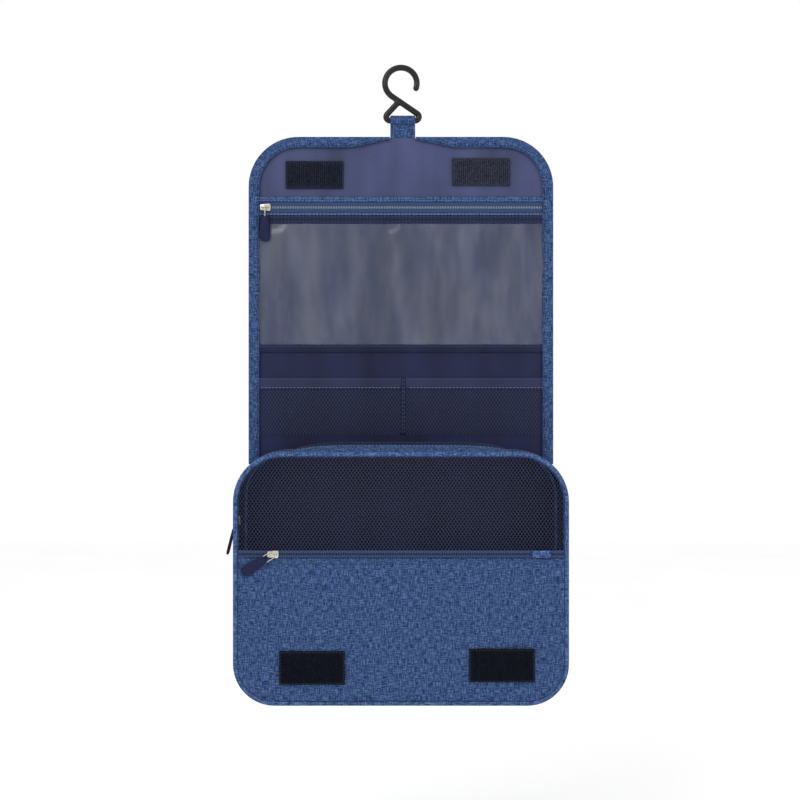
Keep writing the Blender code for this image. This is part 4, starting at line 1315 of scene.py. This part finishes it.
# ---- the bound edges ---------------------------------------------------------------------------------------
# A strip of the same canvas folded over every layer of the panels and topstitched near its inner edge. It
# starts thin beside the hanging loop, widens round the corners and runs down over both folds to the bag.

BIND_FRONT, BIND_BACK = EDGE[0].y, EDGE[1].y
BIND_WIDE = 0.0082
BIND_THICK = 0.0008
BIND_ROUND = 0.0010
BIND_TAPER = 0.036  # the length over which it widens beside the loop
BIND_SEAM = 0.0011  # from the binding's inner edge to its seam
BIND_PROUD = 0.00008  # how far that seam stands out
EDGE_STEP = 0.0025
NARROWEST = 0.0022  # beside the loop


def swept(name, path, section_at, material, closed=False):
    """A closed section carried along an edge. A path point is (x, z, and the way out in x and z); a section
    point is (how far out, depth)."""
    bm = bmesh.new()
    cloth = bm.loops.layers.uv.new("cloth")
    rings, walk, rounds, far = [], [], [], 0.0
    for k, (x, z, out_x, out_z) in enumerate(path):
        section = section_at(k)
        rings.append([bm.verts.new((x + out_x * o, y, z + out_z * o)) for o, y in section])
        far += math.hypot(x - path[k - 1][0], z - path[k - 1][1]) if k else 0.0
        walk.append(far)
        girth = [0.0]
        for n, (o, y) in enumerate(section):
            after = section[(n + 1) % len(section)]
            girth.append(girth[-1] + math.hypot(after[0] - o, after[1] - y))
        rounds.append(girth)
    pairs = [(k, k + 1) for k in range(len(rings) - 1)]
    if closed:
        pairs.append((len(rings) - 1, 0))
        last = math.hypot(path[0][0] - path[-1][0], path[0][1] - path[-1][1])
    for a, b in pairs:
        end = walk[b] if b else walk[a] + last
        for n in range(len(rings[a])):
            m = (n + 1) % len(rings[a])
            face = bm.faces.new((rings[a][n], rings[a][m], rings[b][m], rings[b][n]))
            places = ((rounds[a][n], walk[a]), (rounds[a][n + 1], walk[a]), (rounds[b][n + 1], end),
                      (rounds[b][n], end))
            for loop, place in zip(face.loops, places):
                loop[cloth].uv = place
    if not closed:
        bm.faces.new(rings[0])
        bm.faces.new(rings[-1])
    bmesh.ops.recalc_face_normals(bm, faces=bm.faces)
    made = piece_from(name, bm, material)
    return smooth(made, 50)


def straight_run(a, b, out, step=0.004):
    count = max(round(math.hypot(b[0] - a[0], b[1] - a[1]) / step), 1)
    return [(a[0] + (b[0] - a[0]) * k / count, a[1] + (b[1] - a[1]) * k / count, *out) for k in range(count)]


def corner_run(cx, cz, r, start, end, steps=14):
    angles = [math.radians(start + (end - start) * k / steps) for k in range(steps)]
    return [(cx + r * math.cos(a), cz + r * math.sin(a), math.cos(a), math.sin(a)) for a in angles]


def panel_edge(start, stop):
    """The panels' right edge from beside the loop, round the corner and down."""
    corner = PANEL_HALF - PANEL_CORNER
    path = straight_run((start, PANEL_TOP), (corner, PANEL_TOP), (0, 1), 0.003)
    path += corner_run(corner, PANEL_TOP - PANEL_CORNER, PANEL_CORNER, 90, 0, 18)
    path += straight_run((PANEL_HALF, PANEL_TOP - PANEL_CORNER), (PANEL_HALF, stop), (1, 0), EDGE_STEP)
    return path + [(PANEL_HALF, stop, 1, 0)]


def bind_section(wide, at=0.0):
    """The folded strip: round where it turns over the edge and tucked under along its inner edges."""
    front = BIND_FRONT - 0.00012 * ripple(at, wide, 0.015, 17.0)
    back, tuck = BIND_BACK, 0.0003
    turn = [math.radians(90 * k / 4) for k in range(5)]
    outer = [(-wide, front + tuck), (-wide + tuck, front), (-wide * 0.5, front - 0.00015)]
    outer += [(-BIND_ROUND + BIND_ROUND * math.sin(a), front + BIND_ROUND - BIND_ROUND * math.cos(a))
              for a in turn]
    outer += [(-BIND_ROUND + BIND_ROUND * math.cos(a), back - BIND_ROUND + BIND_ROUND * math.sin(a))
              for a in turn]
    outer += [(-wide * 0.5, back + 0.00015), (-wide + tuck, back), (-wide, back - tuck)]
    inner = [(-wide, back - BIND_THICK), (-BIND_THICK, back - BIND_THICK)]
    return outer + inner + [(-BIND_THICK, front + BIND_THICK), (-wide, front + BIND_THICK)]


def bind_width(walked):
    """Narrow beside the loop, easing out to its full width round the corner."""
    along = min(walked / BIND_TAPER, 1.0)
    return NARROWEST + (BIND_WIDE - NARROWEST) * math.sin(math.radians(90 * along)) ** 1.3


def turned_over(path):
    return [(-x, z, -out_x, out_z) for x, z, out_x, out_z in path]


BAND_MEET = MID_PANEL
BAND_END = BAG_TOP - 0.0115
for side, mirror in (("left", True), ("right", False)):
    start = -upright("upper_binding_left")[1].x if mirror else upright("upper_binding_right")[0].x
    path = panel_edge(start, BAND_MEET)
    walks = [0.0]
    for a, b in zip(path, path[1:]):
        walks.append(walks[-1] + math.hypot(b[0] - a[0], b[1] - a[1]))
    upper_path = turned_over(path) if mirror else path
    shifts = [BIND_SEAM - bind_width(w) for w in walks]
    seam = [(x + ox * shift, BIND_FRONT - BIND_PROUD, z + oz * shift)
            for (x, z, ox, oz), shift in zip(upper_path, shifts)][2:]
    upper = swept("upper_edge_" + side, upper_path, lambda k: bind_section(bind_width(walks[k]), walks[k]),
                  canvas)
    fit_over_fold(upper,
                  ("upper_binding_" + side,))
    seam = stitches(f"upper_edge_{side}_stitches", [seam], navy_thread)
    fit_over_fold(seam)
    path = straight_run((PANEL_HALF, BAND_MEET), (PANEL_HALF, BAND_END), (1, 0), EDGE_STEP)
    path.append((PANEL_HALF, BAND_END, 1, 0))
    path = turned_over(path) if mirror else path
    lower = swept("lower_edge_" + side, path, lambda k: bind_section(BIND_WIDE, EDGE_STEP * k), canvas)
    fit_over_fold(lower, ("middle_binding_" + side,))
    x = (PANEL_HALF - BIND_WIDE + BIND_SEAM) * (-1 if mirror else 1)
    line = upright_line(x, BIND_FRONT - BIND_PROUD, BAND_MEET, BAND_END + 0.001)
    seam = stitches(f"lower_edge_{side}_stitches", [line], navy_thread)
    fit_over_fold(seam)

# ---- the bag's rear half -----------------------------------------------------------------------------------
# The pouch under the folds is a shallow box of canvas with a satin lining. Its rear half is a wall sewn all
# round to the back with a corded seam; the long main zip runs round its middle.

WALL_INSET = 0.0010
WALL_THICK = 0.0008
WALL_BULGE = 0.0012
FOOT_FLAT = 0.9
CROWN_HALF = 0.080  # how far the raised top runs to each side
CROWN_RISE = 0.0058
BAG_DEEP = (upright("back_piping")[0].y, upright("front_piping")[1].y)
PIPE_R = 0.0018
PIPE_TAIL = 2.2 * PIPE_R
PIPE_SEAM = 0.0004  # half the seam allowance's thickness
WALL_ROW = 0.0022
WALL_SEAM = 0.0012


def bag_ring(inset, part="all"):
    """The bag's outline seen from the front, from the top's middle or from where the raised top ends."""
    half, top, foot = BAG_HALF - inset, BAG_TOP - inset, BAG_FOOT + inset
    high_r, low_r = BAG_TOP_CORNER - inset, BAG_FOOT_CORNER - inset
    from_x = CROWN_HALF if part == "round" else 0.0
    if part == "top":
        return straight_run((-CROWN_HALF, top), (CROWN_HALF, top), (0, 1)) + [(CROWN_HALF, top, 0, 1)]
    path = straight_run((from_x, top), (half - high_r, top), (0, 1))
    path += corner_run(half - high_r, top - high_r, high_r, 90, 0)
    path += straight_run((half, top - high_r), (half, foot + low_r), (1, 0))
    path += corner_run(half - low_r, foot + low_r, low_r, 0, -90)
    path += straight_run((half - low_r, foot), (0, foot), (0, -1))
    back = [(-x, z, -ox, oz) for x, z, ox, oz in reversed(path[1:])]
    path.append((0, foot, 0, -1))
    path += back
    if part == "round":
        path.append((-CROWN_HALF, top, 0, 1))
    return path


def swell(y, x=None, down=0.0):
    """How far a wall stands out between its corded seams: most along the top, hardly at all at the foot."""
    across = max(0.0, min(1.0, (BAG_DEEP[0] - y) / (BAG_DEEP[0] - BAG_DEEP[1])))
    full = math.sin(math.pi * across) ** 0.7
    crown = CROWN_RISE * (1 - (abs(x) / CROWN_HALF) ** 6) if x is not None else 0.0
    return full * (WALL_BULGE * (1 - FOOT_FLAT * max(down, 0.0)) + crown)


def wall_band(name, part, y_back, y_front, inset, thick, material, seed, gather=0.0003):
    """A wall's cloth between two depths, following the bag's outline, with small uneven gathers."""
    path = bag_ring(inset, part)
    steps = max(round((y_back - y_front) / WALL_ROW), 2)

    def section(k):
        x = path[k][0] if part == "top" else None
        uneven = gather * (ripple(path[k][0] + y_back, path[k][1], 0.013, seed) - 0.4)
        depths = [y_back + (y_front - y_back) * n / steps for n in range(steps + 1)]
        down = -path[k][3]
        uneven *= 1 - max(down, 0.0)
        face = [(swell(y, x, down) + uneven * math.sin(math.pi * n / steps), y) for n, y in enumerate(depths)]
        return face + [(o - thick, y) for o, y in reversed(face)]

    return swept(name, path, section, material)


def hang_on_bag(piece, part, body, nodes=()):
    """Fit a piece of the bag; a piece along the raised top also gets a mesh of its own."""
    fit(piece, body, nodes)
    if part == "top":
        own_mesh(piece)
    return piece


def wall_pair(name, body, y_back, y_front, nodes, inset, thick, material, seed, gather=0.0003):
    """A wall in two pieces, round the sides and along the top."""
    for part in ("round", "top"):
        piece = wall_band(f"{name}_{part}", part, y_back, y_front, inset, thick, material, seed, gather)
        hang_on_bag(piece, part, body, nodes if part == "round" else ())
        path = bag_ring(inset, part)


def ring_seam(y, part, inset=WALL_INSET):
    """A seam's line on a wall's face, round the sides or along the top."""
    path = bag_ring(inset, part)
    stand = [swell(y, x if part == "top" else None, -oz) + 0.00005 for x, _, _, oz in path]
    return [(x + ox * s, y, z + oz * s) for (x, z, ox, oz), s in zip(path, stand)]


def ring_row(name, body, depths, make):
    for part in ("round", "top"):
        piece = make(f"{name}_{part}", [ring_seam(y, part) for y in depths])
        hang_on_bag(piece, part, body)


def cord(y):
    """The corded seam's section: round, with its pinched seam allowance running inwards."""
    points = [(-PIPE_R + PIPE_R * math.cos(a), y + PIPE_R * math.sin(a)) for a in
              (math.radians(-150 + 300 * k / 14) for k in range(15))]
    return points + [(-PIPE_TAIL, y + PIPE_SEAM), (-PIPE_TAIL, y - PIPE_SEAM)]


piping_canvas = heather("piping_canvas", 1.3)
low, high = upright("back_piping")
pipe_y = (low.y + high.y) / 2
back_pipe = swept("back_corded_seam", bag_ring(0), lambda k: cord(pipe_y), piping_canvas, closed=True)
fit(back_pipe, "bag", ("back_piping",))
low, high = upright("rear_gusset")
wall_pair("rear_wall", "bag", high.y + 0.0002, low.y, ("rear_gusset",), WALL_INSET,
          WALL_THICK, canvas, 31.0)
ring_row("rear_wall_stitches", "bag", (low.y + WALL_SEAM,),
         lambda n, lines: stitches(n, lines, pale_thread))
wall_pair("rear_wall_lining", "bag", high.y, low.y, ("rear_gusset_lining",),
          WALL_INSET + WALL_THICK + 0.0003, LINING_THICK, satin_dark, 32.0)

# ---- the main zip ------------------------------------------------------------------------------------------
# A heavier coil zip right round the bag's middle. Its two woven tapes are sewn to the rear wall and to the
# lid, and the coil stands a little proud where they meet. Its slider and pull are at the left.

MAIN_PITCH = 0.0016
HINGE_HALF = 0.088  # the foot's hinge strip, where the zip stops
rear = upright("rear_zip_tape")
front = upright("lid_zip_tape")
ZIP_LINE = (rear[0].y + front[1].y) / 2
main_tooth = bead("main_tooth", (0.0036, 0.0011, 0.0012), dark_coil)
UNDER_WALL = 0.0012  # how far a tape runs on behind the wall that it is sewn to
TAPE_APART = 0.0006  # each tape's edge from the zip's middle
rear_spread = rear[1].y + UNDER_WALL, ZIP_LINE + TAPE_APART
lid_spread = ZIP_LINE - TAPE_APART, front[0].y - UNDER_WALL
for name, body, node, (y_back, y_front) in (("rear_tape", "bag", "rear_zip_tape", rear_spread),
                                            ("lid_tape", "lid", "lid_zip_tape", lid_spread)):
    wall_pair(name, body, y_back, y_front, (node,), WALL_INSET + 0.0003, 0.0006, woven_tape, 33.0,
              0.00008)
    edge_y = y_back - 2 * UNDER_WALL if body == "bag" else y_front + 2 * UNDER_WALL
    ring_row(name + "_stitches", body, (edge_y,),
             lambda n, lines: stitches(n, lines, blue_thread))
for part in ("round", "top"):
    line = ring_seam(ZIP_LINE, part)
    runs = [line]
    if part == "round":  # the coil stops at each end of the foot's hinge
        runs = [[p for p in line if p[0] * s > 0 and (p[2] > BAG_TOP - 0.15 or p[0] * s > HINGE_HALF)]
                for s in (1, -1)]
    source = line_object("main_coil_line_" + part, runs)
    teeth = grow("main_coil_" + part, source, along_line, Piece=main_tooth, Spacing=MAIN_PITCH,
                 Turn=(math.pi / 2, 0.0, math.pi / 2), Finish=dark_coil)
    hang_on_bag(teeth, part, "bag")
low, high = upright("main_zip_slider")
facing = Matrix(((0, 1, 0, 0), (0, 0, 1, 0), (1, 0, 0, 0), (0, 0, 0, 1)))  # nose up, front to the left
main_at = Matrix.Translation((high.x - 0.0011, (low.y + high.y) / 2, (low.z + high.z) / 2)) @ facing
fit(zip_slider("main_slider_casting", main_at), "main_slider", ("main_zip_slider",))

hang_pull("main_pull", hanging_from("main_pull_swing", "main_pull_tab", sideways=True), "main_pull", False,
          ("main_pull_link", "main_pull_tab"))

# ---- the bag's front half -------------------------------------------------------------------------------
# The lid: a wall like the rear one, corded to a front face whose upper third is net and whose lower part is
# canvas. It opens about the foot, where a strip of the zip's tape is left unparted as a hinge.

low, high = upright("lid_gusset")
wall_pair("lid_wall", "lid", high.y, low.y - 0.0002, ("lid_gusset",), WALL_INSET,
          WALL_THICK, canvas, 41.0)
ring_row("lid_wall_stitches", "lid", (high.y - WALL_SEAM,),
         lambda n, lines: stitches(n, lines, pale_thread))
wall_pair("lid_wall_lining", "lid", high.y, low.y, ("lid_gusset_lining",),
          WALL_INSET + WALL_THICK + 0.0003, LINING_THICK, satin_dark, 42.0)
low, high = upright("front_piping")
front_pipe_y = (low.y + high.y) / 2
front_pipe = swept("front_corded_seam", bag_ring(0), lambda k: cord(front_pipe_y), piping_canvas, closed=True)
fit(front_pipe, "lid", ("front_piping",))
FACE_INSET = 0.0033
LID_NET_SAG = 0.0010
# A thin dark tube round the front face, just inside the corded seam: a painted shadow for the gap beside the cord.
gap_y = front_pipe_y - 0.0004
seam_shadow = swept("front_cord_seam_line", bag_ring(FACE_INSET), lambda k: [
    (0.00045 * math.cos(a), gap_y + 0.0009 * math.sin(a)) for a in (math.radians(60 * n) for n in range(6))],
    thread("seam_shadow", (0.018, 0.026, 0.060)), closed=True)
fit(seam_shadow, "lid")


def face_half(z):
    return rounded_half(z, BAG_HALF - FACE_INSET, BAG_TOP - FACE_INSET, BAG_FOOT + FACE_INSET,
                        BAG_TOP_CORNER - FACE_INSET, BAG_FOOT_CORNER - FACE_INSET)


low, high = upright("lid_net")
net_half, net_top = BAG_HALF - FACE_INSET, BAG_TOP - FACE_INSET
net_y = (low.y + high.y) / 2


def lid_net_depth(x, z):
    side = 1 - (abs(x) / net_half) ** 4
    up = 1 - ((z - (low.z + net_top) / 2) / ((net_top - low.z) / 2)) ** 2
    return net_y - LID_NET_SAG * max(side, 0) * max(up, 0) - 0.0003 * ripple(x, z, 0.03, 51.0)


lid_mesh = net_sheet("lid_net_threads", Vector((-net_half, low.y, low.z - 0.0004)),
                     Vector((net_half, high.y, net_top)), lid_net_depth, BAG_TOP_CORNER - FACE_INSET)
fit(lid_mesh, "lid", ("lid_net",))

# ---- the front zip --------------------------------------------------------------------------------------
# A second light zip right across the lid under the net. Its tapes are topstitched to the net above and to a
# folded canvas hem below; its right end is closed by a small folded tab.

for side in ("upper", "lower"):
    node = "front_zip_tape_" + side
    low, high = upright(node)
    low.x, high.x = -face_half(low.z) + 0.0004, face_half(low.z) - 0.0004
    if side == "upper":
        front_top = high.z
    fit(folded_strip(node + "_cloth", low, high, blue_tape, 0.00004), "lid", (node,))
tape_low, tape_high = upright("front_zip_tape_lower")[0], upright("front_zip_tape_upper")[1]
front_zip_z = (tape_low.z + tape_high.z) / 2
lines = [level_line(-net_half + 0.002, net_half - 0.002, (tape_low.y + tape_high.y) / 2 - 0.00005,
                    front_zip_z)]
front_coil = coil("front_zip_coil", lines, window_tooth, dark_coil, turn=(0.0, math.pi / 2, 0.0))
fit(front_coil, "lid")
lines = [level_line(-net_half + 0.006, net_half - 0.006, tape_low.y, z)
         for z in (front_top + 0.0001, tape_low.z + 0.0006)]
fit(stitches("front_zip_stitches", lines, navy_thread), "lid")
low, high = upright("lid_hem")
low.x, high.x = -net_half + 0.0004, net_half - 0.0004
hem = fit(folded_strip("lid_hem_cloth", low, high, canvas), "lid", ("lid_hem",))
hem_seam = fit(stitches("lid_hem_stitches", strip_seams(low, high)), "lid")
low, high = upright("front_zip_end_tab")
fit(slab_between("front_zip_end_fold", low, high, piping_canvas, 0.0002), "lid",
    ("front_zip_end_tab",))
rim = [(low.x + 0.001, low.y - 0.00005, z) for z in (high.z - 0.0006, low.z + 0.0006)]
fit(stitches("front_zip_end_stitches", [rim], spacing=0.0022), "lid")
low, high = upright("front_zip_slider")
front_slider_at = Matrix.Translation(((low.x + high.x) / 2, high.y - to_slot, (low.z + high.z) / 2))
fit(zip_slider("front_slider_casting", front_slider_at), "front_slider", ("front_zip_slider",))
hang_pull("front_pull", hanging_from("front_pull_swing", "front_pull_tab"), "front_pull", False,
          ("front_pull_link", "front_pull_tab"))

# ---- the lid's canvas and its patches -------------------------------------------------------------------
# The lid's lower face is one cut of canvas, a little loose over the empty bag, backed with satin. Two rougher
# hook patches meet the flap's pair when the bag is folded shut.

PANEL_GROWTH = 0.010
low, high = upright("lid_panel")
panel_top, panel_foot = upright("lid_hem")[0].z + 0.0002, BAG_FOOT + FACE_INSET
face_rows = levels(panel_top, panel_foot, 0, BAG_FOOT_CORNER - FACE_INSET)
lid_cloth = grid("lid_front_cloth", face_rows, *mirrored(lambda z: face_half(z) - 0.0001), lambda x, z: low.y,
                 canvas)
lid_cloth = slacken(lid_cloth, PANEL_GROWTH, 0.0011, 0.0003, 61.0, 16, 0.0005, 0.05)
lid_cloth = thicken(lid_cloth, high.y - low.y)
fit(lid_cloth, "lid", ("lid_panel",))
low, high = upright("lid_panel_lining")
inner_rows = levels(high.z, low.z, 0, BAG_FOOT_CORNER - FACE_INSET)
lid_lining = lining("lid_front_lining", inner_rows, lambda z: face_half(max(z, panel_foot)) - 0.0004,
                    satin_dark, low.y, 62.0)
fit(lid_lining, "lid", ("lid_panel_lining",))
hooks_dark = pile_tape("hook_tape_dark", (0.001, 0.002, 0.005), (0.007, 0.009, 0.019))
pile_patch("lid_patch_left", "lid", hooks_dark, 0.15, 13)
pile_patch("lid_patch_right", "lid", hooks_dark, 0.15, 14)

# ---- the foot's hinge -----------------------------------------------------------------------------------
# Along the foot the zip stops and a doubled strip of woven tape joins the two halves.

HINGE_DEEP = 0.0070
HINGE_BEND = 0.0030  # how far from the zip's middle, on each side, two points are found; nothing uses them
HINGE_ROWS = 10
HINGE_COLUMNS = 40
foot = BAG_FOOT + WALL_INSET
bm = bmesh.new()
cloth = bm.loops.layers.uv.new("cloth")
lines = []
for k in range(HINGE_ROWS + 1):
    y = ZIP_LINE + HINGE_DEEP * (1 - 2 * k / HINGE_ROWS)
    out = swell(y, None, 1.0) + 0.0003
    xs = [-HINGE_HALF + 2 * HINGE_HALF * c / HINGE_COLUMNS for c in range(HINGE_COLUMNS + 1)]
    lines.append([bm.verts.new((x, y, foot - out)) for x in xs])
for a, b in zip(lines, lines[1:]):
    for c in range(HINGE_COLUMNS):
        face = bm.faces.new((a[c], b[c], b[c + 1], a[c + 1]))
        for loop in face.loops:
            loop[cloth].uv = (loop.vert.co.x, loop.vert.co.y)
bmesh.ops.recalc_face_normals(bm, faces=bm.faces)
if bm.faces[0].normal.z > 0:
    bmesh.ops.reverse_faces(bm, faces=bm.faces)
hinge = piece_from("foot_hinge", bm, woven_tape)
hinge = let_hang(thicken(hinge, 0.0004))
start, end = (HANG @ Vector((0, ZIP_LINE + bend, foot)) for bend in (HINGE_BEND, -HINGE_BEND))
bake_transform(hinge)

# ---- the floor, the light and the camera -----------------------------------------------------------------
# A pale studio: a plain floor below the hanging bag, a large soft light from the upper left, a weaker one
# from the right, and a camera square on to the bag at arm's length.

FLOOR_Z = -0.62
CAMERA_FROM = Vector((-0.0007, -0.9568, -0.2521))
LENS = 56.37


def studio_white():
    made, tree, shader = finish("studio_white", 0.9)
    tree.links.new(ramp(tree, speckle(tree, 3), ((0.3, 0.97), (0.7, 0.99))), shader.inputs["Base Color"])
    return made


bm = bmesh.new()
bmesh.ops.create_grid(bm, x_segments=4, y_segments=4, size=4.0)
bmesh.ops.translate(bm, verts=bm.verts, vec=(0, 0, FLOOR_Z))
floor = piece_from("studio_floor", bm, studio_white())

world = bpy.data.worlds.new("studio_air")
world.use_nodes = True
world.node_tree.nodes["Background"].inputs["Color"].default_value = (1.0, 1.0, 1.0, 1)
world.node_tree.nodes["Background"].inputs["Strength"].default_value = 1.0
bpy.context.scene.world = world
bpy.context.scene.view_settings.view_transform = "Standard"


def soft_light(name, place, target, size, power):
    """A square studio light that faces a point."""
    data = bpy.data.lights.new(name, "AREA")
    data.size = size
    data.energy = power
    made = bpy.data.objects.new(name, data)
    made.location = place
    made.rotation_euler = (Vector(target) - Vector(place)).to_track_quat("-Z", "Y").to_euler()
    bpy.context.scene.collection.objects.link(made)


soft_light("window_light", (-0.75, -1.2, 0.75), (0, 0, -0.25), 0.8, 7)
soft_light("fill_light", (1.1, -1.0, 0.1), (0, 0, -0.28), 0.9, 2.5)

eye = bpy.data.cameras.new("straight_on")
eye.lens = LENS
camera = bpy.data.objects.new("straight_on", eye)
camera.matrix_world = HANG @ Matrix.Translation(CAMERA_FROM) @ Matrix.Rotation(math.pi / 2, 4, "X")
bpy.context.scene.collection.objects.link(camera)
bpy.context.scene.camera = camera
